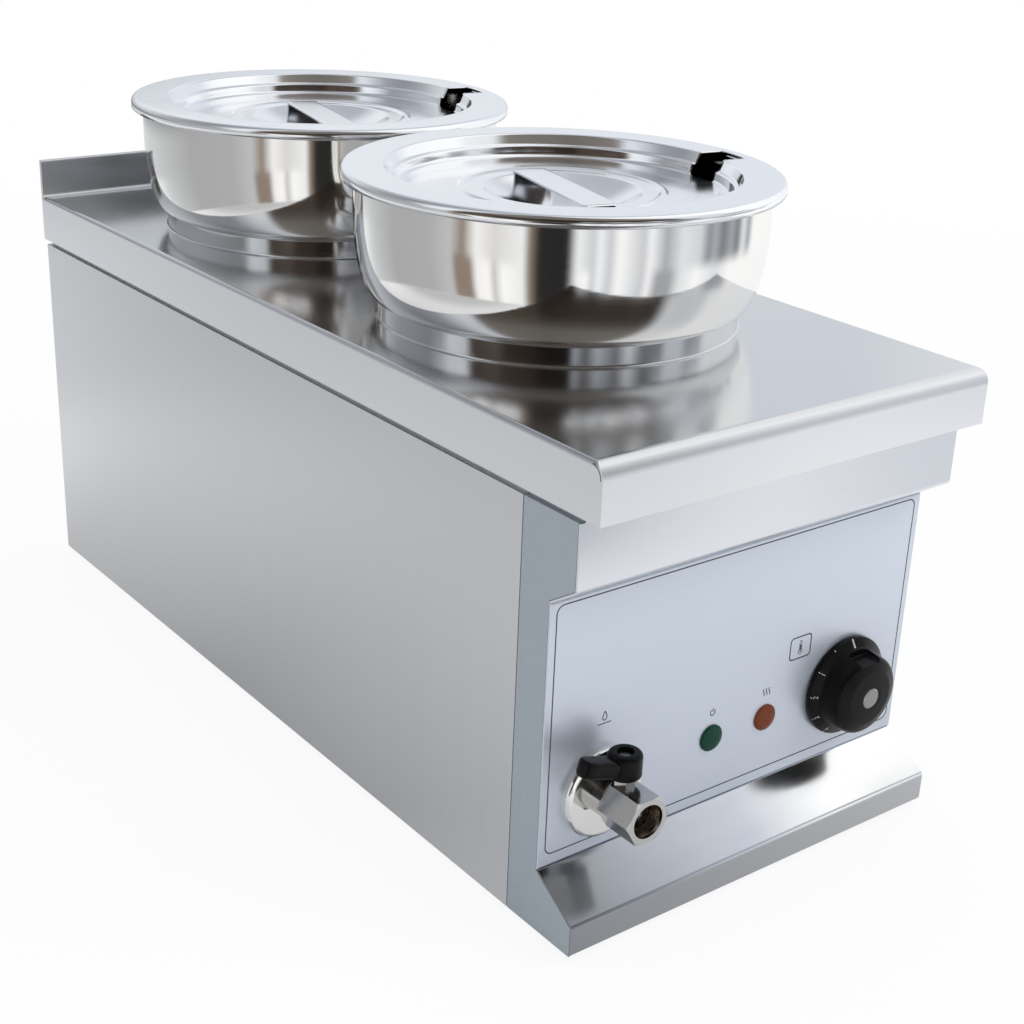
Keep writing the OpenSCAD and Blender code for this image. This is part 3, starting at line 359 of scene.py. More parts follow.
def rounded_bar(name, half_length, half_width, thickness, corner, ease):
    """A flat bar along Y with round corners and eased edges. Across it the section is a super-ellipse of
    power ease, and its width shrinks at each end along a circle of the corner's radius."""
    t = np.linspace(-1, 1, 61)
    y = half_length * np.sin(t * math.pi / 2)
    inset = np.clip(np.abs(y) - (half_length - corner), 0, corner)
    width = half_width - corner + np.sqrt(np.maximum(corner ** 2 - inset ** 2, 0))
    rise = thickness / 2 * (1 - np.clip(np.abs(y) / half_length, 0, 1) ** 60)
    g = np.linspace(0, 2 * math.pi, 64, endpoint=False)
    c, s = np.cos(g), np.sin(g)
    across = np.sign(c) * np.abs(c) ** (2 / ease)
    up = np.sign(s) * np.abs(s) ** (2 / ease)
    points = np.stack([
        width[:, None] * across, y[:, None] + 0 * across, thickness / 2 + rise[:, None] * up], -1)
    ends = [np.broadcast_to((0, y[k], thickness / 2), (1, len(g), 3)) for k in (0, -1)]
    points = np.concatenate([ends[0], points, ends[1]])
    return mesh_object(name, points, grid_faces(len(points), len(g)), smooth_below=50)


def flat_ring(name, outer, inner):
    """A thin printed ring between two closed outlines of as many points, standing on its own XY plane."""
    loops = np.stack([outer, inner, inner, outer])
    height = np.array([0, 0, PRINT, PRINT])[:, None]
    points = np.concatenate([loops, np.broadcast_to(height[..., None], loops.shape[:2] + (1,))], -1)
    return mesh_object(name, points, grid_faces(4, len(outer), close_rows=True), smooth_below=20)


def round_outline(half_x, half_y, radius):
    """Outline of a rectangle with round corners, anticlockwise from its right-hand side."""
    g = np.linspace(0, math.pi / 2, 12)
    parts = []
    for k, (sx, sy) in enumerate([(1, 1), (-1, 1), (-1, -1), (1, -1)]):
        a = g + k * math.pi / 2
        parts.append(np.stack([
            sx * (half_x - radius) + radius * np.cos(a), sy * (half_y - radius) + radius * np.sin(a)], 1))
    return np.vstack(parts)


def stroke(name, line, width):
    """A thin printed stroke of constant width along a line of (x, y) points."""
    line = np.asarray(line, float)
    left, right = beside(line, width / 2), beside(line, -width / 2)
    corners = ((left, 0), (right, 0), (right, PRINT), (left, PRINT))
    points = capped(np.stack([np.column_stack([side, np.full(len(line), h)]) for side, h in corners], 1))
    return mesh_object(name, points, grid_faces(len(points), 4), smooth_below=20)


def joined(name, objects):
    """One object from several whose own places are in their meshes."""
    work = bmesh.new()
    for obj in objects:
        mesh = obj.data
        work.from_mesh(mesh)
        bpy.data.objects.remove(obj)
        bpy.data.meshes.remove(mesh)
    mesh = bpy.data.meshes.new(name)
    work.to_mesh(mesh)
    work.free()
    return linked(name, mesh)


def combined(obj, other, operation):
    """Joins another closed piece to this one, or cuts it out, and keeps the result as a plain mesh."""
    step = obj.modifiers.new("Combined", "BOOLEAN")
    step.object, step.operation, step.solver = other, operation, "EXACT"
    mesh = evaluated_mesh(obj)
    obj.modifiers.clear()
    obj.data = mesh
    bpy.data.objects.remove(other)
    smoothed(mesh, 35)
    return obj


def numeral(text, height):
    """A number as a mesh, centred on its own XY plane. The font's size is 1.4 times a digit's height."""
    curve = bpy.data.curves.new("numeral_" + text, "FONT")
    curve.body, curve.size, curve.extrude = text, height * 1.4, 0.03 * MM
    curve.align_x = curve.align_y = "CENTER"
    maker = linked("numeral_" + text, curve)
    mesh = evaluated_mesh(maker)
    bpy.data.objects.remove(maker)
    return linked("numeral_" + text, mesh)


# Finishes


def linear(hex_colour):
    """An sRGB hex colour as linear red, green, blue and full opacity."""
    value = np.array([int(hex_colour[k:k + 2], 16) for k in (1, 3, 5)]) / 255
    low, high = value / 12.92, ((value + 0.055) / 1.055) ** 2.4
    return (*np.where(value <= 0.04045, low, high).tolist(), 1.0)


def add(tree, kind, inputs=None, stops=(), **settings):
    """Adds a node with its settings, with values or links for its inputs and, where it is a colour ramp,
    with its stops of (position from 0 to 1, hex colour)."""
    made = tree.nodes.new(kind)
    for name, value in settings.items():
        setattr(made, name, value)
    for name, value in (inputs or {}).items():
        if isinstance(value, bpy.types.NodeSocket):
            tree.links.new(value, made.inputs[name])
        else:
            made.inputs[name].default_value = value
    for k, (spot, colour) in enumerate(stops):
        elements = made.color_ramp.elements
        element = elements[k] if k < 2 else elements.new(spot)
        element.position, element.color = spot, linear(colour)
    return made


def emptied(owner):
    """The node tree of a material or a world, with nothing left in it."""
    owner.use_nodes = True
    owner.node_tree.nodes.clear()
    return owner.node_tree


def new_finish(name, colour, roughness, metallic=0.0, **sockets):
    """A material with one Principled shader whose constants sit on its own sockets."""
    material = bpy.data.materials.new(name)
    tree = emptied(material)
    shader = add(tree, "ShaderNodeBsdfPrincipled", {
        "Base Color": linear(colour), "Roughness": roughness, "Metallic": metallic, **sockets})
    add(tree, "ShaderNodeOutputMaterial", {"Surface": shader.outputs[0]})
    return material, tree, shader


def seen_directly(tree):
    """One for the rays of the camera, of mirrors and of clear plastic, and nought for all others."""
    path = add(tree, "ShaderNodeLightPath")
    seen = path.outputs["Is Camera Ray"]
    for kind in ("Is Glossy Ray", "Is Transmission Ray"):
        seen = add(tree, "ShaderNodeMath", {0: seen, 1: path.outputs[kind]},
                   operation="ADD", use_clamp=True).outputs[0]
    return seen


def stretched_noise(tree, spacing, detail=2.0):
    """Noise whose grains are spacing metres apart, or (x, y, z) metres along the piece's own axes."""
    spot = add(tree, "ShaderNodeTexCoord")
    scaled = add(tree, "ShaderNodeMapping", {
        "Vector": spot.outputs["Object"], "Scale": (1 / np.broadcast_to(spacing, 3)).tolist()})
    noise = add(tree, "ShaderNodeTexNoise", {"Vector": scaled.outputs[0], "Scale": 1.0, "Detail": detail})
    return noise.outputs[0]


def vary(tree, shader, source, low, high):
    """Lets a pattern move the roughness between low and high."""
    ranged = add(tree, "ShaderNodeMapRange", {
        "Value": source, "From Min": 0.3, "From Max": 0.7, "To Min": low, "To Max": high})
    tree.links.new(ranged.outputs[0], shader.inputs["Roughness"])


def tint(tree, shader, source, dark, light, start=0.3, end=0.7):
    """Lets a pattern move the colour between two hex values."""
    ranged = add(tree, "ShaderNodeMapRange", {"Value": source, "From Min": start, "From Max": end})
    mixed = add(tree, "ShaderNodeMix", {0: ranged.outputs[0], 6: linear(dark), 7: linear(light)},
                data_type="RGBA")
    tree.links.new(mixed.outputs[2], shader.inputs["Base Color"])


def relief(tree, shader, source, depth):
    """Lets a pattern raise the surface by depth metres at most."""
    bump = add(tree, "ShaderNodeBump", {"Height": source, "Distance": depth, "Strength": 1.0})
    tree.links.new(bump.outputs[0], shader.inputs["Normal"])


def shaded(hex_colour, factor):
    """A hex colour with its sRGB values multiplied by factor."""
    value = [min(255, max(0, round(int(hex_colour[k:k + 2], 16) * factor))) for k in (1, 3, 5)]
    return "#%02X%02X%02X" % tuple(value)


def grained(name, colour, roughness, metallic, spacing, detail=2.0, rough=None, tones=None, depth=None,
            **sockets):
    """A finish with one noise. Where they are given, it moves the roughness between the two values of rough,
    the colour between the two of tones, which are hex values or factors of the colour, and the surface by
    depth metres."""
    material, tree, shader = new_finish(name, colour, roughness, metallic, **sockets)
    noise = stretched_noise(tree, spacing, detail)
    if rough:
        vary(tree, shader, noise, *rough)
    if tones:
        tint(tree, shader, noise, *[v if isinstance(v, str) else shaded(colour, v) for v in tones])
    if depth:
        relief(tree, shader, noise, depth)
    return material


def worktop_finish(colour):
    """Pressed stainless sheet. Its top is brushed along its length, with lines 0.1 mm apart in reality and
    0.6 mm here so that they show. Its skirt and upstand are satin, and its collars are polished."""
    material, tree, shader = new_finish("brushed_worktop_stainless", colour, 0.2, 1.0)
    spot = add(tree, "ShaderNodeTexCoord")
    parts = add(tree, "ShaderNodeSeparateXYZ", {0: spot.outputs["Object"]})
    # Each zone fades in between two places along an axis, in metres
    zones = (("Z", 0.2688, 0.2665), ("Z", 0.2697, 0.2735), ("Y", 0.3, 0.304))
    skirt, collar, upstand = [add(tree, "ShaderNodeMapRange", {
        "Value": parts.outputs[axis], "From Min": start, "From Max": end}).outputs[0]
        for axis, start, end in zones]
    lines = stretched_noise(tree, (0.0006, 0.2, 0.0006), 3.0)
    level = stretched_noise(tree, (0.2, 0.2, 0.0006), 3.0)
    grain = add(tree, "ShaderNodeMix", {"Factor": skirt, "A": lines, "B": level}).outputs[0]
    rough = add(tree, "ShaderNodeMapRange", {
        "Value": grain, "From Min": 0.3, "From Max": 0.7, "To Min": 0.12, "To Max": 0.19}).outputs[0]
    for zone, roughness in ((skirt, 0.42), (collar, 0.07), (upstand, 0.4)):
        rough = add(tree, "ShaderNodeMix", {"Factor": zone, "A": rough, "B": roughness}).outputs[0]
    tree.links.new(rough, shader.inputs["Roughness"])
    # Painted shade and light: the top takes 0.95 of the sheet's colour and the skirt 1.06, so the top reads
    # darker than the skirt
    tint(tree, shader, skirt, shaded(colour, 0.95), shaded(colour, 1.06), 0.0, 1.0)
    smooth = add(tree, "ShaderNodeMath", {0: collar, 1: skirt}, operation="MAXIMUM").outputs[0]
    shallow = add(tree, "ShaderNodeMix", {"Factor": smooth, "A": grain, "B": 0.5}).outputs[0]
    relief(tree, shader, shallow, 0.0000015)
    return material


def toe_finish():
    """Bright-rolled sheet polished to a soft mirror. Its colour holds a painted reflection: darker at its
    left end and brightest at its right.
    """
    material, tree, shader = new_finish("polished_toe_stainless", "#D8DBE2", 0.11, 1.0)
    spot = add(tree, "ShaderNodeTexCoord")
    parts = add(tree, "ShaderNodeSeparateXYZ", {0: spot.outputs["Object"]})
    # Its width from end to end, and the bend between its nose and its slope, in metres
    ways = (("X", -0.132, 0.132), ("Z", 0.0205, 0.0225))
    along, above = [add(tree, "ShaderNodeMapRange", {
        "Value": parts.outputs[axis], "From Min": start, "From Max": end}).outputs[0]
        for axis, start, end in ways]
    # Painted reflection: the slope's colour runs from dark grey at the left end to white at the right, and
    # the nose's runs from grey to light grey
    slope, nose = [add(tree, "ShaderNodeValToRGB", {0: along}, stops).outputs[0] for stops in (
        [(0, "#8D9095"), (0.2, "#ACB0B7"), (0.5, "#C8CDD6"), (0.72, "#FFFFFF"), (1, "#FFFFFF")],
        [(0, "#ABAEB2"), (1, "#D9DBDF")])]
    both = add(tree, "ShaderNodeMix", {0: above, 6: nose, 7: slope}, data_type="RGBA")
    tree.links.new(both.outputs[2], shader.inputs["Base Color"])
    vary(tree, shader, stretched_noise(tree, (0.03, 0.01, 0.01)), 0.13, 0.19)
    return material


def make_finishes(colours):
    """All finishes of the bain marie, by their names."""
    made = [
        worktop_finish(colours.worktop),
        toe_finish(),
        # Spun stainless steel, buffed on the lathe: a mirror with faint rings 0.6 mm apart round each pot.
        grained("spun_mirror_stainless", colours.pot, 0.06, 1.0, (0.4, 0.4, 0.0006), rough=(0.045, 0.10),
                depth=0.0000015),
        # Pressed stainless steel lids, satin from fine buffing: bright, with soft reflections.
        grained("buffed_lid_stainless", colours.lid, 0.13, 1.0, 0.012, rough=(0.10, 0.16)),
        # Satin cold-rolled stainless steel: soft grey, with a fine upright grain that is drawn 0.8 mm apart.
        grained("satin_casing_stainless", colours.casing, 0.38, 1.0, (0.0008, 0.0008, 0.15), 3.0,
                rough=(0.36, 0.42), tones=(0.985, 1.005)),
        # Bright-rolled header sheet with a very fine grain across, so that its bends catch the light.
        grained("bright_rolled_stainless", "#E9EBEF", 0.2, 1.0, (0.15, 0.0009, 0.0009), 3.0,
                rough=(0.19, 0.23), tones=("#DCDEE3", "#DFE1E6")),
        # Blue-grey coated steel cheeks: an even, barely glossy surface.
        grained("blue_grey_coated_steel", colours.cheek, 0.45, 0.0, 0.0015, tones=(0.985, 1.01),
                depth=0.00001),
        # Control panel: satin sheet under a clear printed film, cool and even, half metal in look.
        grained("film_covered_panel_stainless", colours.panel, 0.36, 0.55, (0.1, 0.0008, 0.0008),
                tones=(0.995, 1.003)),
        # Plain mill-finish stainless steel of the hidden sheet parts: dull and slightly mottled.
        grained("mill_finish_stainless", "#B9BABB", 0.4, 1.0, 0.02, 4.0, rough=(0.35, 0.5)),
        # Zinc-plated steel screws, nuts and base: grey with a faint spangle a few millimetres wide.
        grained("zinc_plated_steel", "#A9ADB0", 0.42, 1.0, 0.004, 1.0, tones=("#9DA2A6", "#B4B8BB")),
        # Nickel-plated forged brass of the drain valve: bright, with the slight ripple of a tumbled forging.
        grained("nickel_plated_brass", "#C9C8C6", 0.14, 1.0, 0.004, rough=(0.1, 0.22), depth=0.00002),
        # Turned aluminium cap of the knob: satin, with rings left by the tool 0.4 mm apart.
        grained("turned_aluminium_cap", "#9C9D9E", 0.32, 1.0, (0.0004, 0.2, 0.0004), 1.0, rough=(0.26, 0.4)),
        # Turned yellow brass of nuts and studs, a little dulled.
        grained("turned_yellow_brass", "#C9A35E", 0.3, 1.0, 0.003, rough=(0.25, 0.4)),
        # Cut thread of the outlet, where the plating is thin and the brass looks brown.
        grained("cut_brass_thread", "#6A5A4C", 0.35, 1.0, 0.002, tones=("#3A302A", "#8C7A68")),
        # Nickel alloy sheath of the heating element, dark with oxide.
        grained("oxidised_nickel_sheath", "#4B4743", 0.55, 0.8, 0.006, 4.0, tones=("#35312E", "#5F5953")),
        # Drawn copper of the bulb and its capillary, slightly tarnished.
        grained("drawn_copper", "#B87352", 0.35, 1.0, 0.008, 3.0, tones=("#9A5E44", "#C58361")),
        # Black phenolic moulding: glossy skin with the slight unevenness of a pressed part.
        grained("moulded_black_phenolic", colours.plastic, 0.3, 0.0, 0.003, rough=(0.26, 0.38),
                depth=0.00001, **{"Specular IOR Level": 0.14}),
        # Off-white nylon and PTFE mouldings: soft sheen, faint flow marks.
        grained("moulded_white_nylon", "#E6E4DC", 0.45, 0.0, (0.005, 0.005, 0.02),
                tones=("#DEDCD3", "#ECEAE3")),
        # Black rubber feet: matt, with a fine pebble left by the mould.
        grained("moulded_black_rubber", "#1C1C1C", 0.75, 0.0, 0.0012, depth=0.00008),
    ]
    # Tinted acrylic lenses: a smooth face over a deep colour, which is faintly uneven.
    for name, colour in (("green", colours.green), ("orange", colours.orange)):
        made.append(grained("tinted_%s_acrylic" % name, colour, 0.25, 0.0, 0.002, 1.0, tones=(0.94, 1.04),
                            **{"Specular IOR Level": 0.15}))
    # Screen-printed inks: a flat film of slightly uneven density.
    for name, colour in (("dark", "#3E4043"), ("white", "#BDBDBA")):
        made.append(grained("screen_printed_%s_ink" % name, colour, 0.5, 0.0, 0.0015, 1.0,
                            tones=(0.93, 1.05)))
    return {material.name: material for material in made}


# Shades of the light tent, as (degrees from the camera's side, colour): for its floor and, from its foot up,
# for six bands of its wall. TENT_LEVELS gives the heights in metres between which each band takes over from
# what is below it.
TENT_R = 0.64
TENT_FLOOR = [
    (-180, "#F8FAFC"), (-118, "#FFFFFF"), (-107, "#ECEDEF"), (-88, "#DADBDD"), (-75, "#D2D3D5"),
    (-10, "#D6D7D9"), (18, "#F6F7F9"), (75, "#FFFFFF"), (180, "#F8FAFC")]
TENT_FOOT = [
    (-180, "#EDEFF2"), (-122, "#ECEEF0"), (-113, "#CFD1D3"), (-104, "#C0C2C4"), (-88, "#ABACAF"),
    (-60, "#AEAFB1"), (-47, "#C0C1C2"), (-44, "#8E8074"), (-36, "#8E8074"), (-33, "#F6F6F6"),
    (-27, "#FFFFFF"), (-24, "#C9C6C3"), (-20, "#FFFFFF"), (-11, "#F0F2F4"), (-8, "#84776A"),
    (-4, "#2C2A29"), (8, "#252627"), (12, "#F4F6F8"), (16, "#FFFFFF"), (18, "#CDD0D5"), (21, "#F4F6F8"),
    (25, "#C9CDD3"), (29, "#FFFFFF"), (39, "#C9CDD3"), (42, "#F8F8FA"), (46, "#A2A5AA"), (52, "#A2A5AA"),
    (57, "#E4E6EA"), (66, "#FDFEFF"), (77, "#E0E2E6"), (87, "#FFFFFF"), (180, "#EDEFF2")]
TENT_EAVES = [
    (-180, "#EDEFF2"), (-120, "#CBCDCF"), (-88, "#ABACAF"), (-60, "#AEAFB1"), (-47, "#C0C1C2"),
    (-40, "#8E8074"), (-33, "#F6F6F6"), (-24, "#DDDBD9"), (-11, "#F0F2F4"), (-8, "#84776A"),
    (-4, "#2C2A29"), (8, "#252627"), (12, "#F4F6F8"), (18, "#CDD0D5"), (21, "#F4F6F8"), (25, "#C9CDD3"),
    (29, "#FFFFFF"), (39, "#C9CDD3"), (42, "#F8F8FA"), (49, "#ABAEB3"), (57, "#E4E6EA"), (66, "#D5D8DD"),
    (71, "#8E9298"), (75, "#ABAFB5"), (80, "#7C8086"), (86, "#A4A8AE"), (91, "#7C8086"), (96, "#E6E8EB"),
    (101, "#A2A6AC"), (106, "#FFFFFF"), (180, "#EDEFF2")]
TENT_HORIZON = [
    (-180, "#B9BDC3"), (-130, "#8E9094"), (-103, "#7E7F80"), (-80, "#A8A8AA"), (-45, "#B8B9BB"),
    (-40, "#5A5652"), (46, "#4E4A46"), (58, "#A8ABB0"), (72, "#C9CDD3"), (98, "#F0F2F4"), (150, "#F0F2F4"),
    (180, "#B9BDC3")]
TENT_COLLAR = [
    (-180, "#E0E4EA"), (-150, "#CDD1D7"), (-120, "#B4B7BC"), (-101, "#B4B7BC"), (-85, "#A4A6AA"),
    (-62, "#8A8886"), (-55, "#F0F2F4"), (-45, "#D6D8DA"), (-41, "#4A3F37"), (-26, "#6A6058"),
    (-20, "#3A302A"), (0, "#14110F"), (11, "#14110F"), (14, "#B8BCC2"), (19, "#6E6C6A"), (25, "#C9CDD2"),
    (34, "#84868A"), (40, "#F0F2F4"), (47, "#8A8C90"), (57, "#7E8084"), (61, "#DCDFE3"), (69, "#DCDFE3"),
    (75, "#9498A0"), (83, "#A2A6AC"), (89, "#FFFFFF"), (125, "#FAFCFF"), (145, "#E0E4EA"), (180, "#E0E4EA")]
TENT_MIDDLE = [
    (-180, "#E2E6EC"), (-150, "#E6E9EE"), (-120, "#C6CACF"), (-105, "#A4A7AB"), (-72, "#90949A"),
    (-55, "#E4E8EE"), (-44, "#F4F6F8"), (-39, "#4A4038"), (-6, "#4A3F37"), (-2, "#2B2521"), (18, "#3A322C"),
    (50, "#3A322C"), (56, "#E0E2E4"), (64, "#D4D8DC"), (74, "#DCE0E4"), (81, "#FFFFFF"), (125, "#F8FAFC"),
    (145, "#DDE2E9"), (180, "#E2E6EC")]
TENT_TOP = [
    (-180, "#B9BEC6"), (-115, "#A6A9AF"), (-95, "#7E8186"), (-72, "#9A9DA2"), (-50, "#DADEE4"),
    (-42, "#DADEE4"), (-37, "#7C7771"), (0, "#6E6964"), (48, "#7C7771"), (55, "#E8EAEC"), (76, "#F4F4F5"),
    (82, "#FFFFFF"), (135, "#FFFFFF"), (150, "#C4C9D0"), (180, "#B9BEC6")]
TENT_LEVELS = (
    (TENT_FOOT, 0.005, 0.02), (TENT_EAVES, 0.16, 0.2), (TENT_HORIZON, 0.25, 0.28), (TENT_COLLAR, 0.34, 0.38),
    (TENT_MIDDLE, 0.43, 0.45), (TENT_TOP, 0.55, 0.9))

# Which finish each CAD node gets
NODE_FINISHES = {
    "spun_mirror_stainless": ["front_pot", "back_pot", "valve_escutcheon"],
    "turned_aluminium_cap": ["knob_cap"],
    "buffed_lid_stainless": ["front_lid", "back_lid", "front_lid_strap", "back_lid_strap"],
    "brushed_worktop_stainless": ["worktop"],
    "satin_casing_stainless": ["left_side", "right_side", "back_panel"],
    "bright_rolled_stainless": ["front_header"],
    "polished_toe_stainless": ["kick_toe"],
    "blue_grey_coated_steel": ["left_cheek", "right_cheek"],
    "film_covered_panel_stainless": ["control_panel"],
    "mill_finish_stainless": ["water_tank", "drain_pipe", "heater_clips", "bulb_clip", "thermostat_shaft"],
    "zinc_plated_steel": ["worktop_nuts", "base_plate", "base_screws", "foot_screws", "lamp_clips",
                          "terminal_screws", "lever_screw"],
    "nickel_plated_brass": ["valve_body", "valve_outlet", "valve_ball", "valve_stem", "valve_gland_nut",
                            "valve_locknut"],
    "turned_yellow_brass": ["heater_nuts", "earth_stud", "earth_nut"],
    "oxidised_nickel_sheath": ["heating_element"],
    "drawn_copper": ["thermostat_bulb"],
    "moulded_black_phenolic": ["valve_lever", "dial_knob", "cable_gland", "gland_nut", "lamp_holders"],
    "moulded_white_nylon": ["valve_seats", "thermostat_body", "limit_thermostat", "terminal_block"],
    "moulded_black_rubber": ["rubber_feet"],
    "tinted_green_acrylic": ["green_lens"],
    "tinted_orange_acrylic": ["orange_lens"],
}
FINISH = {}


class BAINMARIE_OT_finishes(bpy.types.Operator):
    """Makes every finish and gives each CAD node its own"""

    bl_idname = "bainmarie.finishes"
    bl_label = "Finishes"

    def execute(self, context):
        FINISH.update(make_finishes(context.scene.bainmarie_finishes))
        for finish, names in NODE_FINISHES.items():
            for name in names:
                NODES[name].data.materials.clear()
                NODES[name].data.materials.append(FINISH[finish])
        missing = set(NODES) - {n for names in NODE_FINISHES.values() for n in names}
        if missing:
            raise RuntimeError("no finish is given for %s" % sorted(missing))
        return {"FINISHED"}


class BAINMARIE_OT_pots(bpy.types.Operator):
    """Spins the two pots"""

    bl_idname = "bainmarie.pots"
    bl_label = "Pots"

    def execute(self, context):
        sizes = context.scene.bainmarie_pots
        for side, box in POT_BOX.items():
            pot = spun("%s_pot_shell" % side, pot_line(sizes, box), middle(box), around=224)
            settle(pot, "%s_pot_body" % side, "polished_stainless", FINISH["spun_mirror_stainless"],
                   "%s_pot" % side)
        return {"FINISHED"}


class BAINMARIE_OT_lids(bpy.types.Operator):
    """Presses the two lids, with their ladle slots and finger dishes, and lays their straps"""

    bl_idname = "bainmarie.lids"
    bl_label = "Lids and straps"

    def execute(self, context):
        sizes = context.scene.bainmarie_pots
        for side, box in LID_BOX.items():
            body, centre = "%s_lid_body" % side, middle(box)
            lid = slotted_lid("%s_lid_shell" % side, lid_line(sizes, box), centre, sizes)
            settle(lid, body, "lid_stainless", FINISH["buffed_lid_stainless"], "%s_lid" % side)
            strap_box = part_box("%s_lid_strap" % side)
            thickness = strap_box[1].z - strap_box[0].z
            strap = rounded_bar("%s_lid_strap_bar" % side, sizes.dish + 5 * MM, sizes.strap / 2, thickness,
                                corner=3 * MM, ease=9)
            place(strap, Matrix.Translation((centre.x, centre.y, strap_box[0].z))
                  @ Matrix.Rotation(sizes.strap_turn, 4, "Z"))
            settle(strap, body, "lid_stainless", FINISH["buffed_lid_stainless"], "%s_lid_strap" % side)
        return {"FINISHED"}


class BAINMARIE_OT_dial(bpy.types.Operator):
    """Moulds the dial knob and prints its numbers"""

    bl_idname = "bainmarie.dial"
    bl_label = "Dial knob"

    def execute(self, context):
        sizes = context.scene.bainmarie_front
        dial, grip = sizes.dial, sizes.grip
        centre = middle(KNOB_BOX)
        back, face = PANEL_Y - KNOB_BOX[1].y, PANEL_Y - KNOB_BOX[0].y
        rim, foot, flare = back + 3 * MM, back + 6 * MM, grip + 1.7 * MM
        bore, boss, hollow, cap = 3.1 * MM, 7 * MM, grip - 5.5 * MM, 6.1 * MM
        under, bore_end, hollow_end = back + 1.5 * MM, face - 7.9 * MM, face - 7 * MM
        inside = np.array([
            (0, bore_end), (bore, bore_end), (bore, under), (boss, under), (boss, hollow_end),
            (hollow, hollow_end), (hollow, under)])
        outside = rounded([
            inside[-1], (dial - 3 * MM, under), (dial - 1.5 * MM, back), (dial, back), (dial, rim),
            (flare, foot), (flare - 0.3 * MM, foot + 1.5 * MM), (grip, face - 3.2 * MM),
            (grip - 7 * MM, face - 0.6 * MM), (9 * MM, face), (cap, face),
        ], [0.3 * MM, 0.4 * MM, 0.4 * MM, 0.7 * MM, 1.2 * MM, 0.8 * MM, 4 * MM, 6 * MM, 3 * MM], steps=7)
        cap_seat = face - 1 * MM
        line = np.vstack([inside, outside[1:], [(cap, cap_seat), (0, cap_seat)]])
        knob = spun("dial_knob_moulding", line, (0, 0), around=160)
        rest = rounded_bar("thumb_rest_cutter", 9 * MM, 8 * MM, 30 * MM, corner=2 * MM, ease=10)
        place(rest, Matrix.Translation((0, grip + 6 * MM, foot + 1.6 * MM)))
        combined(knob, rest, "DIFFERENCE")
        place(knob, out_of_panel(centre.x, centre.z))
        settle(knob, "knob", "black_plastic", FINISH["moulded_black_phenolic"], "dial_knob")
        # Numbers and ticks stand on the dial's cone, which slopes between the rim and the grip's foot
        slope, clear = math.atan2(foot - rim, dial - flare), 0.05 * MM
        cone = (Matrix.Translation((0, (dial + flare) / 2, (rim + foot) / 2))
                @ Matrix.Rotation(-slope, 4, "X") @ Matrix.Translation((0, 0, clear)))
        marks, first_mark, apart = [], 28, 30
        for k in range(10):
            turned = Matrix.Rotation(math.radians(first_mark + k * apart), 4, "Z") @ cone
            if k:
                below_tick = Matrix.Translation((0, -0.4 * MM, 0))
                marks.append(place(numeral(str(k), sizes.numeral), turned @ below_tick))
            marks.append(place(stroke("tick", [(0, 1.9 * MM), (0, 2.7 * MM)], 0.6 * MM), turned))
        marks.append(place(stroke("index", [(0, -2.6 * MM), (0, 2.6 * MM)], 1.2 * MM), cone))
        numbers = place(joined("dial_numbers", marks), out_of_panel(centre.x, centre.z))
        settle(numbers, "knob", "white_plastic", FINISH["screen_printed_white_ink"])
        return {"FINISHED"}


class BAINMARIE_OT_lever(bpy.types.Operator):
    """Moulds the drain valve's lever"""

    bl_idname = "bainmarie.lever"
    bl_label = "Drain lever"

    def execute(self, context):
        rise = context.scene.bainmarie_front.lever_rise
        stem = middle(STEM_BOX)
        height, hub, width = 9 * MM, 9 * MM, 12 * MM
        rim, well, start = 13.5 * MM, 4.2 * MM, 4.2 * MM
        hub_line = rounded([(0, 0), (hub, 0), (hub, rim), (well, rim), (well, height), (0, height)],
                           [1.2 * MM, 2.5 * MM, 0.6 * MM, 0.5 * MM], steps=8)
        hub_piece = spun("drain_lever_moulding", hub_line, (0, 0), around=96)
        reach = (stem.x - LEVER_BOX[0].x - width / 2) / math.cos(rise)
        half = (reach + width / 2 - start) / 2
        arm = rounded_bar("lever_arm", half, width / 2, height, corner=width / 2 - 0.1 * MM, ease=4.5)
        place(arm, Matrix.Translation((0, 0, height / 2)) @ Matrix.Rotation(rise, 4, "Y")
              @ Matrix.Translation((-half - start, 0, -height / 2)) @ Matrix.Rotation(math.pi / 2, 4, "Z"))
        lever = combined(hub_piece, arm, "UNION")
        place(lever, Matrix.Translation((stem.x, stem.y, LEVER_BOX[0].z)))
        settle(lever, "lever", "black_plastic", FINISH["moulded_black_phenolic"], "valve_lever")
        return {"FINISHED"}


class BAINMARIE_OT_valve(bpy.types.Operator):
    """Cuts the thread in the drain valve's outlet"""

    bl_idname = "bainmarie.valve"
    bl_label = "Outlet thread"

    def execute(self, context):
        centre = middle(OUTLET_BOX)
        reach = PANEL_Y - OUTLET_BOX[0].y
        pitch, turns, crest, root = 1.8 * MM, 4.5, 8.75 * MM, 9.28 * MM
        inset, run_out, share = 0.3 * MM, 1.2, 0.96
        # A helix that goes inwards by one pitch a turn. Its section is a flat diamond whose tip is at the
        # crest's radius and whose sides are at the root's. Near both ends it sinks to the root.
        a = np.linspace(0, turns * 2 * math.pi, int(turns * 72))
        along = reach - inset - pitch * a / (2 * math.pi) - pitch / 2
        ease = np.clip(np.minimum(a, a[-1] - a) / run_out, 0, 1)
        section = np.array([(-0.5, 0.0), (0.0, 1.0), (0.5, 0.0), (0.0, -0.25)])
        r = root - (root - crest) * section[:, 1] * ease[:, None]
        s = along[:, None] + section[:, 0] * pitch * share
        points = capped(np.stack([r * np.cos(a)[:, None], r * np.sin(a)[:, None], s], -1))
        thread = mesh_object("outlet_thread", points, grid_faces(len(points), 4), smooth_below=30)
        place(thread, out_of_panel(centre.x, centre.z))
        settle(thread, "cabinet", "plated_brass", FINISH["cut_brass_thread"])
        return {"FINISHED"}


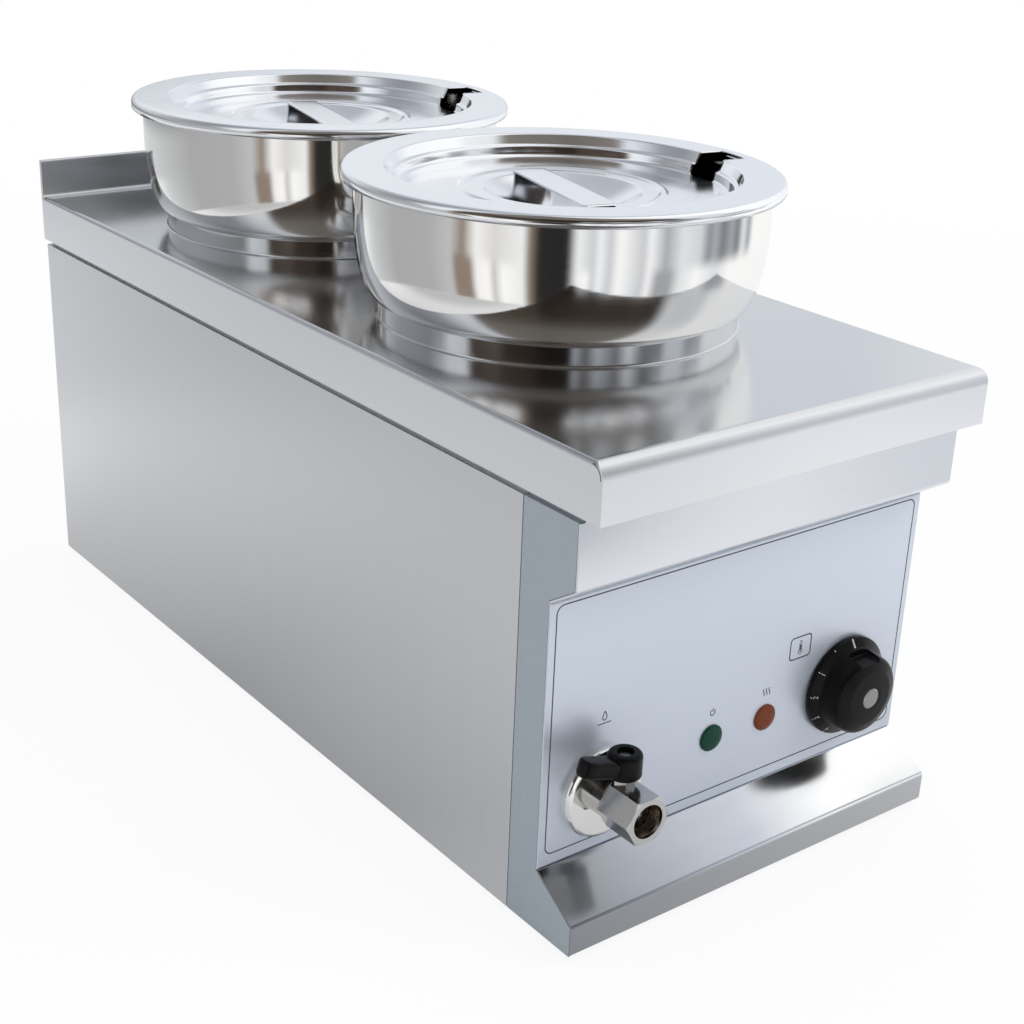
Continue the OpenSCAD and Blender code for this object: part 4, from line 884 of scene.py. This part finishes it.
class BAINMARIE_OT_prints(bpy.types.Operator):
    """Prints the border and the pictograms on the control panel"""

    bl_idname = "bainmarie.prints"
    bl_label = "Printed marks"

    def execute(self, context):
        sizes = context.scene.bainmarie_front
        line, thin, hairline = sizes.border, sizes.pictogram, 0.45 * MM
        half_x, low, high, corner = 127.8 * MM, 46.8 * MM, 186.6 * MM, 5 * MM
        half_z = (high - low) / 2
        outer = round_outline(half_x, half_z, corner)
        inner = round_outline(half_x - line, half_z - line, corner - line)

        def ring(r, y, steps, start, end):
            """Part of a circle of radius r about (0, y), between two angles in degrees."""
            a = np.radians(np.linspace(start, end, steps))
            return np.stack([r * np.cos(a), y + r * np.sin(a)], 1)

        bulb = ring(1.5 * MM, -2.4 * MM, 30, 60, -240)
        tube = np.vstack([[bulb[-1]], ring(0.75 * MM, 3.2 * MM, 12, 180, 0), [bulb[0]]])
        frame_lines = round_outline(8.3 * MM, 7 * MM, 2.6 * MM), round_outline(7.5 * MM, 6.2 * MM, 1.9 * MM)
        t = np.linspace(0, 1, 16)
        waves = [np.stack([k * 2.1 * MM + 0.5 * MM * np.sin(t * 2 * math.pi), (t - 0.5) * 4.4 * MM], 1)
                 for k in (-1, 0, 1)]
        a = np.linspace(0, 2 * math.pi, 60)
        drop = np.stack([1.9 * MM * np.sin(a) * np.sin(a / 2) ** 1.4, 2.6 * MM * np.cos(a)], 1)
        for mark, x, z in (
            (flat_ring("panel_border", outer, inner), 0, (low + high) / 2),
            # A thermometer in a rounded square, beside the knob
            (joined("thermometer_pictogram", [
                flat_ring("thermometer_frame", *frame_lines),
                stroke("thermometer_bulb", bulb, hairline),
                stroke("thermometer_tube", tube, hairline),
                stroke("thermometer_column", [(0, -2.8 * MM), (0, 1.6 * MM)], 2 * hairline)]),
             46.5 * MM, 116 * MM),
            # A ring with a bar for power, and three rising waves for heat, above the lamps
            (joined("power_pictogram", [
                stroke("power_ring", ring(1.7 * MM, 0, 40, 125, 415), thin),
                stroke("power_bar", [(0, 0.3 * MM), (0, 2.5 * MM)], thin)]), -16.8 * MM, 95 * MM),
            (joined("heat_pictogram", [stroke("heat_wave", wave, thin) for wave in waves]),
             23.2 * MM, 95.4 * MM),
            # A drop over a level line for the drain, above the valve
            (joined("drain_pictogram", [
                stroke("drop", drop, thin),
                stroke("level", [(-4.4 * MM, -4.4 * MM), (4.4 * MM, -4.4 * MM)], thin)]),
             -93 * MM, 117 * MM),
        ):
            place(mark, out_of_panel(x, z))
            settle(mark, "cabinet", "panel_stainless", FINISH["screen_printed_dark_ink"])
        return {"FINISHED"}


class BAINMARIE_OT_stage(bpy.types.Operator):
    """Lays the pale floor, hangs the soft lights and sets the camera"""

    bl_idname = "bainmarie.stage"
    bl_label = "Stage"

    def execute(self, context):
        scene = context.scene
        scene.view_settings.view_transform = "Standard"
        self.studio_floor()
        self.studio_tent()
        self.world(scene)
        self.lights()
        self.camera(scene)
        return {"FINISHED"}

    def studio_floor(self):
        """A wide disc of pale paper. The camera and mirrors see it almost white, with the shadow kept."""
        rings = np.array([(0, 0), (1, 0), (4, 0), (14, 0)], float)
        floor = spun("studio_floor", rings, (0, 0), around=64)
        material, tree, shader = new_finish("pale_paper_floor", "#F4F4F4", 0.9)
        glow = add(tree, "ShaderNodeEmission", {"Color": (1, 1, 1, 1), "Strength": 1.0})
        # Nine tenths of it near the object, all of it far away, where the floor has to meet the white behind
        spot = add(tree, "ShaderNodeTexCoord")
        distance = add(tree, "ShaderNodeVectorMath", {0: spot.outputs["Object"]}, operation="LENGTH")
        share = add(tree, "ShaderNodeMapRange", {
            "Value": distance.outputs["Value"], "From Min": 0.5, "From Max": 1.6, "To Min": 0.9,
            "To Max": 1.0})
        seen = add(tree, "ShaderNodeMath", {0: seen_directly(tree), 1: share.outputs[0]},
                   operation="MULTIPLY")
        mixed = add(tree, "ShaderNodeMixShader", {
            0: seen.outputs[0], 1: shader.outputs[0], 2: glow.outputs[0]})
        output = next(n for n in tree.nodes if n.type == "OUTPUT_MATERIAL")
        tree.links.new(mixed.outputs[0], output.inputs["Surface"])
        floor.data.materials.append(material)

    def studio_tent(self):
        """A light tent that only reflections see: a round floor, a wall and a roof, whose shade depends on
        the direction about the object and on the height."""
        line = np.array([(0, 1 * MM), (0.2, 1 * MM), (0.45, 1 * MM), (TENT_R, 1 * MM)]
                        + [(TENT_R, z) for z in np.linspace(0.05, 1.1, 12)] + [(0.4, 1.4), (0, 1.5)])
        tent = spun("studio_tent", line, (0.0, -0.03), around=160)
        tent.visible_camera = tent.visible_diffuse = tent.visible_shadow = tent.visible_transmission = False
        material = bpy.data.materials.new("tent_cloth_and_cards")
        tree = emptied(material)
        spot = add(tree, "ShaderNodeTexCoord")
        parts = add(tree, "ShaderNodeSeparateXYZ", {0: spot.outputs["Object"]})
        # Direction from the camera's side, 128 degrees before the X axis, as a share from 0 to 1 of a turn
        camera_side = math.radians(128)
        angle = add(tree, "ShaderNodeMath", {0: parts.outputs["Y"], 1: parts.outputs["X"]},
                    operation="ARCTAN2")
        turned = add(tree, "ShaderNodeMath", {0: angle.outputs[0], 1: camera_side}, operation="ADD")
        wrapped = add(tree, "ShaderNodeMath", {0: turned.outputs[0], 1: math.pi, 2: -math.pi},
                      operation="WRAP")
        share = add(tree, "ShaderNodeMapRange", {
            "Value": wrapped.outputs[0], "From Min": -math.pi, "From Max": math.pi})

        def around(stops):
            """The shade on every side of the tent."""
            return add(tree, "ShaderNodeValToRGB", {0: share.outputs[0]},
                       [(d / 360 + 0.5, colour) for d, colour in stops]).outputs[0]

        shade = around(TENT_FLOOR)
        for stops, start, end in TENT_LEVELS:
            level = add(tree, "ShaderNodeMapRange", {
                "Value": parts.outputs["Z"], "From Min": start, "From Max": end},
                interpolation_type="SMOOTHSTEP")
            mixed = add(tree, "ShaderNodeMix", {0: level.outputs[0], 6: shade, 7: around(stops)},
                        data_type="RGBA")
            shade = mixed.outputs[2]
        # Painted contact shadow: the tent's floor darkens towards the object, with the distance from its
        # sides
        beyond = []
        for axis, half in (("X", 0.132), ("Y", 0.305)):
            across = add(tree, "ShaderNodeMath", {0: parts.outputs[axis]}, operation="ABSOLUTE").outputs[0]
            beyond.append(add(tree, "ShaderNodeMath", {0: across, 1: half}, operation="SUBTRACT").outputs[0])
        away = add(tree, "ShaderNodeMath", {0: beyond[0], 1: beyond[1]}, operation="MAXIMUM").outputs[0]
        near = add(tree, "ShaderNodeMapRange", {
            "Value": away, "From Min": 0.0, "From Max": 0.3, "To Min": 0.6, "To Max": 1.15}).outputs[0]
        # From 0.37 m to 0.46 m out from the sides the floor darkens again, to 0.72 of its shade
        far = add(tree, "ShaderNodeMapRange", {
            "Value": away, "From Min": 0.37, "From Max": 0.46, "To Min": 1.0, "To Max": 0.72}).outputs[0]
        near = add(tree, "ShaderNodeMath", {0: near, 1: far}, operation="MULTIPLY").outputs[0]
        wall = add(tree, "ShaderNodeMath", {0: parts.outputs["Z"], 1: 0.01},
                   operation="GREATER_THAN").outputs[0]
        level = add(tree, "ShaderNodeMix", {"Factor": wall, "A": near, "B": 1.05}).outputs[0]
        glow = add(tree, "ShaderNodeEmission", {"Color": shade, "Strength": level})
        add(tree, "ShaderNodeOutputMaterial", {"Surface": glow.outputs[0]})
        tent.data.materials.append(material)

    def world(self, scene):
        """White to the camera, mirrors and clear plastic, and a soft even light otherwise."""
        scene.world = bpy.data.worlds.new("studio")
        tree = emptied(scene.world)
        soft = add(tree, "ShaderNodeBackground", {"Color": linear("#F2F4F8"), "Strength": 0.62})
        bright = add(tree, "ShaderNodeBackground", {"Color": (1, 1, 1, 1), "Strength": 1.0})
        mixed = add(tree, "ShaderNodeMixShader", {
            0: seen_directly(tree), 1: soft.outputs[0], 2: bright.outputs[0]})
        add(tree, "ShaderNodeOutputWorld", {"Surface": mixed.outputs[0]})

    def lights(self):
        """Large soft boxes: the key from the upper right, a weak fill from the left and one from above."""
        for name, spot, aim, size, power in (
            ("key_box", (1.1, -1.2, 1.5), (0, -0.1, 0.2), 0.9, 14),
            ("fill_box", (-1.8, -0.6, 1.1), (0, 0, 0.2), 1.2, 8),
            ("top_box", (0.1, 0.3, 1.9), (0, 0, 0.3), 1.2, 10),
        ):
            lamp = bpy.data.lights.new(name, "AREA")
            lamp.shape, lamp.size, lamp.energy = "SQUARE", size, power
            obj = linked(name, lamp)
            obj.location = spot
            obj.rotation_euler = (Vector(aim) - Vector(spot)).to_track_quat("-Z", "Y").to_euler()
            obj.visible_glossy = False

    def camera(self, scene):
        """The photograph's view: a direction, a roll about it, and a lens in pixels for a width of 1024."""
        az, el, roll = (math.radians(v) for v in (-38.021, 22.66, 2.267))
        target, distance, focal_pixels = Vector((0.401543, 0.441949, -0.137204)), 1.749401, 1706.078
        back = Vector((math.sin(az) * math.cos(el), -math.cos(az) * math.cos(el), math.sin(el)))
        side = Vector((0, 0, 1)).cross(back).normalized()
        up = back.cross(side)
        x_axis = side * math.cos(roll) + up * math.sin(roll)
        y_axis = -side * math.sin(roll) + up * math.cos(roll)
        turn = Matrix((x_axis, y_axis, back)).transposed().to_4x4()
        data = bpy.data.cameras.new("photo_view")
        data.sensor_width = 36
        data.sensor_fit = "HORIZONTAL"
        data.lens = focal_pixels / 1024 * data.sensor_width
        data.clip_end = 50
        scene.camera = linked("photo_view", data)
        scene.camera.matrix_world = Matrix.Translation(target + back * distance) @ turn


class BAINMARIE_PT_panel(bpy.types.Panel):
    """Sizes, colours and makers of the bain marie"""

    bl_label = "Bain marie"
    bl_idname = "BAINMARIE_PT_panel"
    bl_space_type = "VIEW_3D"
    bl_region_type = "UI"
    bl_category = "Bain marie"

    def draw(self, context):
        for group in GROUPS:
            column = self.layout.column(align=True)
            for name in GROUPS[group].__annotations__:
                column.prop(getattr(context.scene, group), name)
        for operator in OPERATORS:
            self.layout.operator(operator.bl_idname)


OPERATORS = (
    BAINMARIE_OT_finishes, BAINMARIE_OT_pots, BAINMARIE_OT_lids, BAINMARIE_OT_dial, BAINMARIE_OT_lever,
    BAINMARIE_OT_valve, BAINMARIE_OT_prints, BAINMARIE_OT_stage,
)
GROUPS = {"bainmarie_pots": PotSizes, "bainmarie_front": FrontSizes, "bainmarie_finishes": Finishes}


def register():
    for group in GROUPS.values():
        bpy.utils.register_class(group)
    for operator in OPERATORS:
        bpy.utils.register_class(operator)
    bpy.utils.register_class(BAINMARIE_PT_panel)
    for name, group in GROUPS.items():
        setattr(bpy.types.Scene, name, bpy.props.PointerProperty(type=group))


def unregister():
    for name in GROUPS:
        delattr(bpy.types.Scene, name)
    bpy.utils.unregister_class(BAINMARIE_PT_panel)
    for operator in reversed(OPERATORS):
        bpy.utils.unregister_class(operator)
    for group in reversed(list(GROUPS.values())):
        bpy.utils.unregister_class(group)


def main():
    register()
    bpy.ops.bainmarie.finishes()
    bpy.ops.bainmarie.pots()
    bpy.ops.bainmarie.lids()
    bpy.ops.bainmarie.dial()
    bpy.ops.bainmarie.lever()
    bpy.ops.bainmarie.valve()
    bpy.ops.bainmarie.prints()
    bpy.ops.bainmarie.stage()


if __name__ == "__main__":
    main()
